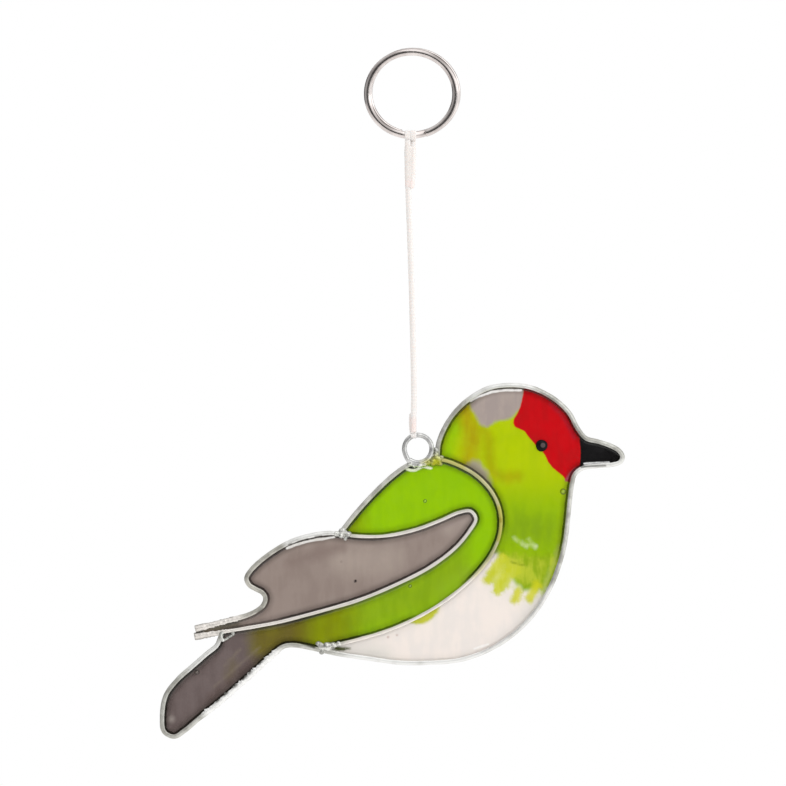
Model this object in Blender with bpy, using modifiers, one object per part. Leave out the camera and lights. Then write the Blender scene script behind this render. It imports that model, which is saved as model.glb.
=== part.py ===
"""A wire bird filled with coloured resin, hung by a tied cord from a split ring.

Metres, +Z up. The bird faces +X and its front looks along -Y. The origin is the
inner top of the split ring, where a hook bears. Routes are written in millimetres
as (x, z), or (x, y, z) for the cord, and turned into metres by the functions below.
"""
import math

import bmesh
import bpy
import numpy as np

MM = 0.001
GAP = 0.3 * MM

FRAME_WIRE = 1.5 * MM
EYE_WIRE = 1.24 * MM
CORD = 1.5 * MM

# Split ring: an oval of flattened wire, two turns deep
RING_WIDTH = 25.0 * MM
RING_HEIGHT = 23.7 * MM
RING_BAND = 2.2 * MM
RING_WIRE_DEPTH = 1.1 * MM
RING_PITCH = 1.25 * MM
RING_CORNER = 0.3 * MM
RING_START = 19
RING_CROSSING = (347, 379)
RING_END = 707
RING_STEP = 12

# Hanging eye: an open ring in front of the wing wire
EYE_CENTRE = (1.47 * MM, -1.67 * MM, -101.47 * MM)
EYE_RADIUS = 3.54 * MM
EYE_OPENING_ANGLE = 215
EYE_OPENING = 8
EYE_POINTS = 31

PANE_THICKNESS = 1.3 * MM
PANE_GAP = 0.37 * MM

# The bird's own eye: a drop standing on the front of the body pane
DROP_PLACE = (33.4 * MM, -100.65 * MM)
DROP_RADIUS = 1.55 * MM
DROP_HEIGHT = 0.6 * MM
DROP_ARC_STEP = 15
DROP_STEPS = 20

BODY_ROUTE = [
    (6.6, -103.2), (6.9, -100.2), (8.3, -96.5), (10.9, -92.4), (14.7, -88.8), (19.4, -86.1),
    (24.7, -85.2), (30.6, -85.8), (36.4, -88.6), (40.3, -92.2), (42.7, -96.5), (44.8, -98.9),
    (48.1, -99.8), (51.5, -101.0), (53.3, -102.1), (54.15, -103.5), (53.6, -104.8), (52.0, -105.4),
    (48.0, -105.75), (43.9, -106.4), (41.8, -108.1), (41.1, -110.5), (40.6, -114.0),
    (40.1, -118.9), (39.3, -125.4), (37.8, -131.4), (35.5, -137.2), (31.9, -143.2), (26.7, -148.7),
    (20.1, -153.1), (12.7, -155.8), (4.8, -156.6), (-3.2, -156.6), (-11.5, -155.5),
    (-18.8, -154.4), (-24.4, -153.2), (-27.8, -152.5), (-30.3, -152.1), (-33.2, -152.4),
    (-36.7, -155.1), (-42.6, -160.5), (-48.9, -166.0), (-55.1, -171.0), (-58.9, -174.2),
    (-61.5, -175.7), (-64.0, -174.5), (-64.5, -170.9), (-63.6, -165.4), (-60.6, -161.3),
    (-56.7, -157.8), (-52.8, -154.4), (-50.4, -152.4), (-49.5, -150.4),
]
WING_ROUTE = [
    (-17.6, -122.2), (-14.6, -118.4), (-9.5, -112.8), (-4.5, -108.2), (-0.9, -105.8),
    (2.5, -105.0), (7.2, -104.3), (12.2, -105.9), (16.9, -108.7), (20.7, -112.9), (22.7, -118.0),
    (22.5, -123.8), (20.2, -129.1), (15.9, -134.5), (9.1, -140.3), (1.4, -145.0), (-6.6, -148.5),
    (-14.3, -150.8), (-20.1, -152.2),
]
FEATHER_ROUTE = [
    (-56.2, -150.0), (-52.8, -149.4), (-49.1, -148.8), (-44.0, -148.0), (-38.8, -147.1),
    (-34.2, -146.2), (-23.8, -143.5), (-13.4, -140.4), (-3.2, -136.1), (4.5, -132.1),
    (11.0, -127.2), (14.8, -122.7), (16.4, -119.6), (15.1, -117.6), (12.1, -117.9), (7.2, -120.0),
    (0.7, -122.4), (-7.1, -124.0), (-13.5, -124.1), (-17.4, -123.7), (-21.5, -123.4),
    (-25.9, -124.0), (-31.5, -125.7), (-37.5, -129.3), (-41.6, -133.0), (-42.7, -135.0),
    (-42.0, -136.6), (-40.4, -137.6), (-38.6, -138.6), (-37.8, -140.1), (-38.4, -142.0),
    (-40.2, -143.5), (-42.8, -144.7), (-46.0, -145.6), (-50.3, -146.7), (-56.0, -148.1),
]
# From the end glued below the knot at the hanging eye, through the eye, up to the
# ring, twice round it, and down to the end glued under the ring
CORD_ROUTE = [
    (-0.1, -0.75, -92.9), (-0.12, -0.65, -94.4), (0.1, -0.1, -96.0), (0.25, 0.6, -97.6),
    (0.33, 0.15, -99.2), (0.34, -1.5, -99.95), (0.33, -3.2, -99.2), (0.3, -3.8, -97.6),
    (0.28, -3.3, -95.9), (0.3, -2.6, -94.3), (0.34, -2.3, -92.8), (0.41, -2.0, -88.9),
    (0.34, -1.7, -81.1), (0.1, -1.35, -70.8), (-0.23, -0.95, -57.9), (-0.67, -0.6, -45.0),
    (-1.03, -0.35, -34.6), (-1.09, -0.35, -30.0), (-1.15, -0.9, -26.0), (-1.18, -1.5, -24.0),
    (-1.2, -2.0, -22.5), (-1.2, -2.5, -20.65), (-1.2, -2.0, -18.6), (-1.18, 0.0, -18.0),
    (-1.15, 1.85, -18.7), (-1.1, 2.45, -20.65), (-0.75, 1.85, -22.52), (0.05, 0.0, -23.2),
    (0.4, -1.85, -22.52), (0.42, -2.5, -20.65), (0.44, -2.0, -18.6), (0.46, 0.0, -18.0),
    (0.5, 1.85, -18.7), (0.6, 2.5, -20.65), (0.9, 2.65, -22.3), (0.85, 2.3, -24.0),
    (0.5, 1.6, -26.0), (0.2, 1.15, -28.5), (0.05, 1.05, -31.0), (-0.15, 1.15, -33.85),
]

# Solder beads: centre (x, y, z) and half sizes, in millimetres
SOLDER_BEADS = {
    "eye_foot_solder": ((1.5, -1.1, -105.1), (3.0, 1.75, 1.25)),
    "neck_solder": ((6.55, 0.0, -104.0), (1.75, 1.45, 1.75)),
    "back_solder": ((-17.9, 0.0, -123.3), (1.9, 1.45, 1.7)),
    "belly_solder": ((-21.7, 0.0, -152.7), (3.2, 1.45, 1.8)),
    "tail_solder": ((-48.9, 0.0, -150.1), (1.9, 1.45, 1.5)),
}
# Where the wing pane's edge leaves one wire and takes up the next, over the belly bead
BELLY_BEAD_RIGHT = (-17.5 * MM, -151.6 * MM)
BELLY_BEAD_LEFT = (-25.6 * MM, -152.9 * MM)
BEAD_WIRES = {
    "eye_foot_solder": ("wing_wire", "hanging_eye"),
    "neck_solder": ("wing_wire", "body_wire"),
    "back_solder": ("wing_wire", "feather_wire"),
    "belly_solder": ("wing_wire", "body_wire"),
    "tail_solder": ("feather_wire", "body_wire"),
}
BEAD_SEGMENTS = 20
BEAD_RINGS = 12

# Colour, roughness, metallic and see-through share of each piece
TINNED_WIRE = ((0.7, 0.69, 0.66), 0.35, 1.0, 0.0)
SOLDER = ((0.72, 0.71, 0.68), 0.3, 1.0, 0.0)
SURFACES = {
    "split_ring": ((0.62, 0.6, 0.59), 0.25, 1.0, 0.0),
    "hanging_cord": ((0.82, 0.8, 0.76), 0.85, 0.0, 0.0),
    "hanging_eye": TINNED_WIRE,
    "body_wire": TINNED_WIRE,
    "wing_wire": TINNED_WIRE,
    "feather_wire": TINNED_WIRE,
    "body_pane": ((0.45, 0.6, 0.02), 0.1, 0.0, 0.3),
    "wing_tail_pane": ((0.25, 0.5, 0.01), 0.1, 0.0, 0.3),
    "feather_pane": ((0.3, 0.25, 0.23), 0.1, 0.0, 0.3),
    "eye_drop": ((0.01, 0.01, 0.012), 0.08, 0.0, 0.0),
    "eye_foot_solder": SOLDER,
    "neck_solder": SOLDER,
    "back_solder": SOLDER,
    "belly_solder": SOLDER,
    "tail_solder": SOLDER,
}

# How finely bends are followed: degrees of turn, and the longest straight piece
WIRE_TURN = 11
WIRE_LONGEST = 5.0 * MM
CORD_TURN = 24
CORD_LONGEST = 4.2 * MM
PANE_TURN = 9
PANE_LONGEST = 5.0 * MM
SHORTEST = 0.45 * MM
FINE_STEP = 0.25 * MM


def new_collection(name):
    collection = bpy.data.collections.new(name)
    bpy.context.scene.collection.children.link(collection)
    return collection


def surface(name):
    """The named piece's own Principled material."""
    colour, roughness, metallic, transmission = SURFACES[name]
    material = bpy.data.materials.new(name + "_surface")
    material.use_nodes = True
    shader = material.node_tree.nodes["Principled BSDF"]
    shader.inputs["Base Color"].default_value = (*colour, 1.0)
    shader.inputs["Roughness"].default_value = roughness
    shader.inputs["Metallic"].default_value = metallic
    shader.inputs["Transmission Weight"].default_value = transmission
    return material


def smooth_points(route, spacing=FINE_STEP):
    """Closely spaced points, in metres, on the smooth curve through a route in millimetres."""
    knots = np.array(route) * MM
    knots = np.vstack([2 * knots[0] - knots[1], knots, 2 * knots[-1] - knots[-2]])
    line = []
    for before, start, end, after in zip(knots, knots[1:], knots[2:], knots[3:]):
        first = np.linalg.norm(start - before) ** 0.5
        second = first + np.linalg.norm(end - start) ** 0.5
        third = second + np.linalg.norm(after - end) ** 0.5
        count = max(2, round(np.linalg.norm(end - start) / spacing))
        for t in np.linspace(first, second, count, endpoint=False):
            a = before + (start - before) * t / first
            b = start + (end - start) * (t - first) / (second - first)
            c = end + (after - end) * (t - second) / (third - second)
            ab = a + (b - a) * t / second
            bc = b + (c - b) * (t - first) / (third - first)
            line.append(ab + (bc - ab) * (t - first) / (second - first))
    line.append(knots[-2])
    return np.array(line)


def thinned(line, turn, longest):
    """The points that a line's bends need, none closer than SHORTEST or further than longest."""
    steps = np.diff(line, axis=0)
    lengths = np.linalg.norm(steps, axis=1)
    headings = steps / lengths[:, None]
    kept = [0]
    turned = 0.0
    run = 0.0
    for i in range(1, len(line) - 1):
        run += lengths[i - 1]
        turned += math.degrees(math.acos(np.clip(headings[i - 1] @ headings[i], -1, 1)))
        if run >= longest or (turned >= turn and run >= SHORTEST):
            kept.append(i)
            turned = 0.0
            run = 0.0
    return line[kept + [len(line) - 1]]


def nearest(line, place):
    """The index of the point of line that lies nearest to place."""
    return int(np.argmin(np.linalg.norm(line - np.asarray(place), axis=1)))


def in_plane(line):
    """Points (x, z) put into the bird's own plane, as (x, 0, z)."""
    return np.stack([line[:, 0], np.zeros(len(line)), line[:, 1]], axis=1)


def poly_curve(name, points, dimensions="3D", cyclic=False):
    """A curve object of straight runs between the points, not yet in a collection."""
    data = bpy.data.curves.new(name, "CURVE")
    data.dimensions = dimensions
    spline = data.splines.new("POLY")
    spline.points.add(len(points) - 1)
    for point, place in zip(spline.points, points):
        point.co = (*place, 1.0) if len(place) == 3 else (*place, 0.0, 1.0)
    spline.use_cyclic_u = cyclic
    spline.use_smooth = True
    return bpy.data.objects.new(name, data)


def tube(name, points, diameter):
    """A round wire or cord along the points, closed at both ends."""
    obj = poly_curve(name, points)
    obj.data.bevel_depth = diameter / 2
    obj.data.bevel_resolution = 2
    obj.data.use_fill_caps = True
    return obj


def put(obj, collection):
    """Links a finished piece into its collection and gives it its own material."""
    collection.objects.link(obj)
    obj.data.materials.append(surface(obj.name))


def as_mesh(curve, collection):
    """The same shape as a welded mesh object, in place of the curve."""
    collection.objects.link(curve)
    bpy.context.view_layer.update()
    graph = bpy.context.evaluated_depsgraph_get()
    mesh = bpy.data.meshes.new_from_object(curve.evaluated_get(graph))
    work = bmesh.new()
    work.from_mesh(mesh)
    bmesh.ops.remove_doubles(work, verts=work.verts, dist=0.001 * MM)
    bmesh.ops.recalc_face_normals(work, faces=work.faces)
    work.to_mesh(mesh)
    work.free()
    obj = bpy.data.objects.new(curve.name, mesh)
    obj.matrix_world = curve.matrix_world
    collection.objects.link(obj)
    bpy.data.objects.remove(curve)
    return obj


def lengthened(points, extra):
    """The same run of points with both ends carried on straight by extra."""
    start = points[0] - points[1]
    end = points[-1] - points[-2]
    first = points[0] + start / np.linalg.norm(start) * extra
    last = points[-1] + end / np.linalg.norm(end) * extra
    return np.vstack([first, points[1:-1], last])


def clearance(name, points, diameter, collection):
    """A hidden cutter that leaves the gap round a wire."""
    cutter = as_mesh(tube(name, lengthened(points, GAP), diameter + 2 * GAP), collection)
    cutter.hide_render = True
    cutter.display_type = "WIRE"
    return cutter


def split_ring_points():
    """The centreline of the flattened wire, in the ring's own plane with z across its depth."""
    half_width = (RING_WIDTH - RING_BAND) / 2
    half_height = (RING_HEIGHT - RING_BAND) / 2
    centre = RING_BAND - RING_HEIGHT / 2
    leave, arrive = RING_CROSSING
    angles = np.arange(RING_START, RING_END, RING_STEP)
    points = []
    for degrees in [*angles, RING_END]:
        share = min(max((degrees - leave) / (arrive - leave), 0.0), 1.0)
        across = share * share * (3 - 2 * share)
        angle = math.radians(degrees)
        x = half_width * math.sin(angle)
        y = centre - half_height * math.cos(angle)
        points.append((x, y, RING_PITCH * (0.5 - across)))
    return points


def make_split_ring(collection, guides):
    """Flattened wire wound twice, its outer turn starting in front and ending behind."""
    band = RING_BAND / 2
    depth = RING_WIRE_DEPTH / 2
    corners = []
    for x, y in ((1, 1), (1, -1), (-1, -1), (-1, 1)):
        corner = [(x * (band - RING_CORNER), y * depth), (x * band, y * (depth - RING_CORNER))]
        corners += corner if x * y > 0 else corner[::-1]
    profile = poly_curve("ring_wire_profile", corners, "2D", cyclic=True)
    profile.hide_render = True
    profile.display_type = "WIRE"
    guides.objects.link(profile)
    ring = poly_curve("split_ring", split_ring_points())
    ring.data.twist_mode = "Z_UP"
    ring.data.bevel_mode = "OBJECT"
    ring.data.bevel_object = profile
    ring.data.use_fill_caps = True
    ring.rotation_euler.x = math.radians(90)
    put(ring, collection)


def eye_points():
    """The open ring of the hanging eye, its opening at the lower left."""
    first = EYE_OPENING_ANGLE + EYE_OPENING / 2
    last = EYE_OPENING_ANGLE + 360 - EYE_OPENING / 2
    x, y, z = EYE_CENTRE
    angles = np.radians(np.linspace(first, last, EYE_POINTS))
    return np.array([(x + EYE_RADIUS * math.cos(a), y, z + EYE_RADIUS * math.sin(a)) for a in angles])


def closely_spaced(loop):
    """The closed loop with points added along its longer straight steps."""
    points = []
    for start, end in zip(loop, np.roll(loop, -1, axis=0)):
        count = max(1, round(np.linalg.norm(end - start) / FINE_STEP))
        for i in range(count):
            points.append(start + (end - start) * i / count)
    return np.array(points)


def clear_of(loop, distance, places):
    """The places that keep their distance from every point of the loop."""
    kept = [np.linalg.norm(loop - place, axis=1).min() > distance * 0.99 for place in places]
    return places[kept]


def inset_outline(loop, keep_clear):
    """The closed loop of wire centrelines moved inwards to a pane's edge.

    keep_clear lists (centre, half sizes) of the solder beads that the edge goes round.
    """
    distance = FRAME_WIRE / 2 + PANE_GAP
    ahead = np.roll(loop, -1, axis=0)
    area = np.sum(loop[:, 0] * ahead[:, 1] - ahead[:, 0] * loop[:, 1])
    if area < 0:
        loop = loop[::-1]
    tangents = np.roll(loop, -1, axis=0) - np.roll(loop, 1, axis=0)
    tangents /= np.linalg.norm(tangents, axis=1)[:, None]
    inward = np.stack([-tangents[:, 1], tangents[:, 0]], axis=1)
    edge = closely_spaced(clear_of(loop, distance, loop + inward * distance))
    for centre, half_sizes in keep_clear:
        away = (edge - centre) / half_sizes
        reach = np.linalg.norm(away, axis=1)
        inside = reach < 1
        edge[inside] = centre + away[inside] / reach[inside, None] * half_sizes
    return clear_of(loop, distance, edge)


def make_pane(name, loop, beads, collection):
    """A flat plate of resin that fills the loop up to the wires and the named beads."""
    keep_clear = []
    for bead in beads:
        centre, half_sizes = SOLDER_BEADS[bead]
        keep_clear.append((np.array(centre)[[0, 2]] * MM, np.array(half_sizes)[[0, 2]] * MM + GAP))
    edge = inset_outline(closely_spaced(loop), keep_clear)
    edge = thinned(np.vstack([edge, edge[:1]]), PANE_TURN, PANE_LONGEST)[:-1]
    pane = poly_curve(name, edge, "2D", cyclic=True)
    pane.data.fill_mode = "BOTH"
    pane.data.extrude = PANE_THICKNESS / 2
    pane.data.splines[0].use_smooth = False
    pane.rotation_euler.x = math.radians(90)
    put(pane, collection)


def make_bead(name, cutters, collection):
    """A bead of solder with room left for each wire that runs through it."""
    centre, half_sizes = SOLDER_BEADS[name]
    mesh = bpy.data.meshes.new(name)
    work = bmesh.new()
    bmesh.ops.create_uvsphere(work, u_segments=BEAD_SEGMENTS, v_segments=BEAD_RINGS, radius=1.0)
    bmesh.ops.scale(work, vec=np.array(half_sizes) * MM, verts=work.verts)
    work.to_mesh(mesh)
    work.free()
    mesh.shade_smooth()
    bead = bpy.data.objects.new(name, mesh)
    bead.location = np.array(centre) * MM
    for cutter in cutters:
        modifier = bead.modifiers.new(cutter.name, "BOOLEAN")
        modifier.operation = "DIFFERENCE"
        modifier.object = cutter
    put(bead, collection)


def make_eye_drop(collection):
    """A low dome turned from its profile, its flat back towards the pane."""
    profile = bpy.data.meshes.new("eye_drop")
    arc = [math.radians(degrees) for degrees in range(90, -1, -DROP_ARC_STEP)]
    places = [(DROP_RADIUS * math.cos(a), 0.0, DROP_HEIGHT * math.sin(a)) for a in arc]
    places[0] = (0.0, 0.0, DROP_HEIGHT)
    places.append((0.0, 0.0, 0.0))
    profile.from_pydata(places, [(i, i + 1) for i in range(len(places) - 1)], [])
    drop = bpy.data.objects.new("eye_drop", profile)
    screw = drop.modifiers.new("turned", "SCREW")
    screw.steps = DROP_STEPS
    screw.render_steps = DROP_STEPS
    screw.use_merge_vertices = True
    screw.merge_threshold = 0.001 * MM
    screw.use_smooth_shade = True
    x, z = DROP_PLACE
    drop.location = (x, -PANE_THICKNESS / 2 - GAP, z)
    drop.rotation_euler.x = math.radians(90)
    put(drop, collection)


def make_panes(body, wing, feather, collection):
    """The three panes, each bounded by the wires' centrelines between their joints."""
    neck_joint = nearest(wing, body[0])
    belly_joint = nearest(body, wing[-1])
    back_joint = nearest(feather, wing[0])
    tail_joint = nearest(feather, body[-1])
    over_tail = back_joint + nearest(feather[back_joint:], body[-1])
    wing_end = nearest(wing, BELLY_BEAD_RIGHT)
    rump = nearest(body, BELLY_BEAD_LEFT)

    wing_front = wing[neck_joint:][::-1]
    make_pane(
        "body_pane",
        np.vstack([body[:belly_joint], wing_front]),
        ["neck_solder", "belly_solder"],
        collection,
    )
    make_pane(
        "wing_tail_pane",
        np.vstack([wing[:wing_end], body[rump:], feather[tail_joint:back_joint]]),
        SOLDER_BEADS,
        collection,
    )
    make_pane("feather_pane", feather[tail_joint:over_tail], ["back_solder"], collection)


def main():
    for obj in list(bpy.data.objects):
        bpy.data.objects.remove(obj)
    pieces = new_collection("suncatcher")
    helpers = new_collection("suncatcher_cutters")

    body = smooth_points(BODY_ROUTE)
    wing = smooth_points(WING_ROUTE)
    feather = smooth_points(FEATHER_ROUTE)
    cord = smooth_points(CORD_ROUTE)
    wires = {"hanging_eye": (eye_points(), EYE_WIRE)}
    for name, line in (("body_wire", body), ("wing_wire", wing), ("feather_wire", feather)):
        wires[name] = (in_plane(thinned(line, WIRE_TURN, WIRE_LONGEST)), FRAME_WIRE)

    make_split_ring(pieces, helpers)
    put(tube("hanging_cord", thinned(cord, CORD_TURN, CORD_LONGEST), CORD), pieces)
    cutters = {}
    for name, (points, diameter) in wires.items():
        put(tube(name, points, diameter), pieces)
        cutters[name] = clearance("round_" + name, points, diameter, helpers)
    make_panes(body, wing, feather, pieces)
    make_eye_drop(pieces)
    for name, met_wires in BEAD_WIRES.items():
        make_bead(name, [cutters[wire] for wire in met_wires], pieces)


main()
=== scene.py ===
import math

import bmesh
import bpy
import numpy as np
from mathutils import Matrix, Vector, geometry


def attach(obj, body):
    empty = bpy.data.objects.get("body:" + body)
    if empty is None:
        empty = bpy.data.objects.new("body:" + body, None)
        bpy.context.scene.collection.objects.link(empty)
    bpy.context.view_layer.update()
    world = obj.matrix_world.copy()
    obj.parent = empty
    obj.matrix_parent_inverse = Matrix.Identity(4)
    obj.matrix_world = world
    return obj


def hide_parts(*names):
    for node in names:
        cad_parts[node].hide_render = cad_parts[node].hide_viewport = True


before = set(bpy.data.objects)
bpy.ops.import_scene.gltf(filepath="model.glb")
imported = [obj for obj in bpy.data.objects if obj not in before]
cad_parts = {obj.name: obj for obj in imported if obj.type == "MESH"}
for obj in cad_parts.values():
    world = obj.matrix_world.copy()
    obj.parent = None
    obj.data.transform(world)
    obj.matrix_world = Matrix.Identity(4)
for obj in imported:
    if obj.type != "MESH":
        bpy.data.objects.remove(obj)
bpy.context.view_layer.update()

mm = 0.001

# Routes of the bent wires as (x, z) in millimetres, in the plane y = 0
routes = {
    "body": [
        (6.6, -103.2), (6.9, -100.2), (8.3, -96.5), (10.9, -92.4), (14.7, -88.8), (19.4, -86.1),
        (24.7, -85.2), (30.6, -85.8), (36.4, -88.6), (40.3, -92.2), (42.7, -96.5), (44.8, -98.9),
        (48.1, -99.8), (51.5, -101), (53.3, -102.1), (54.15, -103.5), (53.6, -104.8),
        (52, -105.4), (48, -105.75), (43.9, -106.4), (41.8, -108.1), (41.1, -110.5),
        (40.6, -114), (40.1, -118.9), (39.3, -125.4), (37.8, -131.4), (35.5, -137.2),
        (31.9, -143.2), (26.7, -148.7), (20.1, -153.1), (12.7, -155.8), (4.8, -156.6),
        (-3.2, -156.6), (-11.5, -155.5), (-18.8, -154.4), (-24.4, -153.2), (-27.8, -152.5),
        (-30.3, -152.1), (-33.2, -152.4), (-36.7, -155.1), (-42.6, -160.5), (-48.9, -166),
        (-55.1, -171), (-58.9, -174.2), (-61.5, -175.7), (-64, -174.5), (-64.5, -170.9),
        (-63.6, -165.4), (-60.6, -161.3), (-56.7, -157.8), (-52.8, -154.4), (-50.4, -152.4),
        (-49.5, -150.4),
    ],
    "wing": [
        (-17.6, -122.2), (-14.6, -118.4), (-9.5, -112.8), (-4.5, -108.2), (-0.9, -105.8),
        (2.5, -105), (7.2, -104.3), (12.2, -105.9), (16.9, -108.7), (20.7, -112.9),
        (22.7, -118), (22.5, -123.8), (20.2, -129.1), (15.9, -134.5), (9.1, -140.3),
        (1.4, -145), (-6.6, -148.5), (-14.3, -150.8), (-20.1, -152.2),
    ],
    "feather": [
        (-56.2, -150), (-52.8, -149.4), (-49.1, -148.8), (-44, -148), (-38.8, -147.1),
        (-34.2, -146.2), (-23.8, -143.5), (-13.4, -140.4), (-3.2, -136.1), (4.5, -132.1),
        (11, -127.2), (14.8, -122.7), (16.4, -119.6), (15.1, -117.6), (12.1, -117.9),
        (7.2, -120), (0.7, -122.4), (-7.1, -124), (-13.5, -124.1), (-17.4, -123.7),
        (-21.5, -123.4), (-25.9, -124), (-31.5, -125.7), (-37.5, -129.3), (-41.6, -133),
        (-42.7, -135), (-42, -136.6), (-40.4, -137.6), (-38.6, -138.6), (-37.8, -140.1),
        (-38.4, -142), (-40.2, -143.5), (-42.8, -144.7), (-46, -145.6), (-50.3, -146.7),
        (-56, -148.1),
    ],
}

# Route of the cord as (x, y, z) in millimetres: from its glued end round the hanging eye,
# up to the split ring, twice round that, and down to the other glued end
cordRoute = [
    (-0.1, -0.75, -92.9), (-0.12, -0.65, -94.4), (0.1, -0.1, -96), (0.25, 0.6, -97.6),
    (0.33, 0.15, -99.2), (0.34, -1.5, -99.95), (0.33, -3.2, -99.2), (0.3, -3.8, -97.6),
    (0.28, -3.3, -95.9), (0.3, -2.6, -94.3), (0.34, -2.3, -92.8), (0.41, -2, -88.9),
    (0.34, -1.7, -81.1), (0.1, -1.35, -70.8), (-0.23, -0.95, -57.9), (-0.67, -0.6, -45),
    (-1.03, -0.35, -34.6), (-1.09, -0.35, -30), (-1.15, -0.9, -26), (-1.18, -1.5, -24),
    (-1.2, -2, -22.5), (-1.2, -2.5, -20.65), (-1.2, -2, -18.6), (-1.18, 0, -18),
    (-1.15, 1.85, -18.7), (-1.1, 2.45, -20.65), (-0.75, 1.85, -22.52), (-0.1, 0, -23.2),
    (0.18, -1.85, -22.52), (0.22, -2.5, -20.65), (0.24, -2, -18.6), (0.26, 0, -18),
    (0.24, 1.85, -18.7), (0.22, 2.5, -20.65), (0.2, 2.2, -22.3), (0.12, 0.8, -23.7),
    (0.06, -0.5, -24.9), (0, -0.8, -26.4), (-0.03, -0.55, -28.5), (-0.06, -0.42, -31),
    (-0.14, -0.35, -33.2),
]


def smoothLine(route, spacing=0.25):
    # a centripetal curve through the route's points, in metres
    knots = np.array(route, float) * mm
    knots = np.vstack([2 * knots[0] - knots[1], knots, 2 * knots[-1] - knots[-2]])
    line = []
    for before, start, end, after in zip(knots, knots[1:], knots[2:], knots[3:]):
        first = np.linalg.norm(start - before) ** 0.5
        second = first + np.linalg.norm(end - start) ** 0.5
        third = second + np.linalg.norm(after - end) ** 0.5
        count = max(2, round(np.linalg.norm(end - start) / (spacing * mm)))
        for t in np.linspace(first, second, count, endpoint=False):
            a = before + (start - before) * t / first
            b = start + (end - start) * (t - first) / (second - first)
            c = end + (after - end) * (t - second) / (third - second)
            ab = a + (b - a) * t / second
            bc = b + (c - b) * (t - first) / (third - first)
            line.append(ab + (bc - ab) * (t - first) / (second - first))
    line.append(knots[-2])
    return np.array(line)


def evenly(line, spacing, closed=False):
    # the same line with its points an equal distance apart
    if closed:
        line = np.vstack([line, line[:1]])
    reach = np.concatenate([[0], np.cumsum(np.linalg.norm(np.diff(line, axis=0), axis=1))])
    count = max(2, round(reach[-1] / spacing))
    marks = np.linspace(0, reach[-1], count + 1)
    if closed:
        marks = marks[:-1]
    return np.column_stack([np.interp(marks, reach, line[:, k]) for k in range(line.shape[1])])


def nearest(line, place):
    return int(np.argmin(np.linalg.norm(line - place, axis=1)))


def ripple(points, size, seed):
    # smooth unevenness from -1 to 1 whose swells are about size metres across
    dice = np.random.default_rng(seed)
    total = np.zeros(len(points))
    for _ in range(8):
        heading = dice.normal(size=points.shape[1])
        heading *= 2 * math.pi / (size * dice.uniform(1.2, 3.0) * np.linalg.norm(heading))
        total += np.sin(points @ heading + dice.uniform(0, 2 * math.pi))
    return np.clip(total / 4, -1, 1)


def distanceToLine(points, line, closed=False):
    # distance from each point to the nearest place on the line
    ends = np.roll(line, -1, axis=0) if closed else line[1:]
    starts = line if closed else line[:-1]
    best = np.full(len(points), np.inf)
    for start, end in zip(starts, ends):
        run = end - start
        share = np.clip((points - start) @ run / max(run @ run, 1e-18), 0, 1)
        gap = np.linalg.norm(points - start - share[:, None] * run, axis=1)
        best = np.minimum(best, gap)
    return best


def insideOutline(points, outline):
    inside = np.zeros(len(points), bool)
    for (x0, z0), (x1, z1) in zip(outline, np.roll(outline, -1, axis=0)):
        if z0 == z1:
            continue
        level = (points[:, 1] > z0) != (points[:, 1] > z1)
        inside ^= level & (points[:, 0] < x0 + (points[:, 1] - z0) * (x1 - x0) / (z1 - z0))
    return inside


def newPiece(name, points, faces, finish, slotName, **values):
    # a piece from plain arrays, smooth shaded, with named values for its points
    mesh = bpy.data.meshes.new(name)
    mesh.from_pydata([tuple(p) for p in points], [], faces)
    mesh.validate()
    built = bmesh.new()
    built.from_mesh(mesh)
    bmesh.ops.recalc_face_normals(built, faces=built.faces)
    built.to_mesh(mesh)
    built.free()
    for title, numbers in values.items():
        layer = mesh.attributes.new(title, "FLOAT", "POINT")
        layer.data.foreach_set("value", np.asarray(numbers, np.float32))
    mesh.shade_smooth()
    mesh.materials.append(finish)
    piece = bpy.data.objects.new(name, mesh)
    bpy.context.scene.collection.objects.link(piece)
    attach(piece, "root")
    return piece


def ringFaces(count, sides):
    # the faces that join each ring of points to the next
    return [(i * sides + k, i * sides + (k + 1) % sides,
             (i + 1) * sides + (k + 1) % sides, (i + 1) * sides + k)
            for i in range(count - 1) for k in range(sides)]


def tubeArrays(line, radius, sides, end):
    # rings of points along a line. radius is one number or rings x sides of them.
    # end is a list of (step outwards, share of the radius) in radii, for both ends.
    steps = np.gradient(line, axis=0)
    heading = steps / np.linalg.norm(steps, axis=1)[:, None]
    across = np.zeros_like(line)
    across[0] = np.cross(heading[0], (0.0, 1.0, 0.013))
    for i in range(len(line)):
        if i:
            across[i] = across[i - 1]
        across[i] -= heading[i] * (across[i] @ heading[i])
        across[i] /= np.linalg.norm(across[i])
    over = np.cross(heading, across)
    angles = np.linspace(0, 2 * math.pi, sides, endpoint=False)
    spokes = (across[:, None] * np.cos(angles)[:, None] + over[:, None] * np.sin(angles)[:, None])
    radii = np.broadcast_to(np.asarray(radius, float), (len(line), sides))
    rings = list(line[:, None] + spokes * radii[..., None])

    def endRings(i, sign):
        size = radii[i].mean()
        made = []
        for step, share in end:
            middle = line[i] + sign * heading[i] * step * size
            made.append(middle + spokes[i] * radii[i][:, None] * share)
        return made

    rings = endRings(0, -1)[::-1] + rings + endRings(-1, 1)
    points = np.vstack(rings)
    faces = ringFaces(len(rings), sides)
    tips = [rings[0].mean(0), rings[-1].mean(0)]
    count = len(points)
    last = (len(rings) - 1) * sides
    faces += [(count, (k + 1) % sides, k) for k in range(sides)]
    faces += [(count + 1, last + k, last + (k + 1) % sides) for k in range(sides)]
    return np.vstack([points, tips]), faces


cutEnd = [(0.04, 0.97), (0.1, 0.88), (0.12, 0.5)]
meltedEnd = [(0.3, 0.95), (0.6, 0.8), (0.85, 0.53), (0.97, 0.22)]


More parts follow.
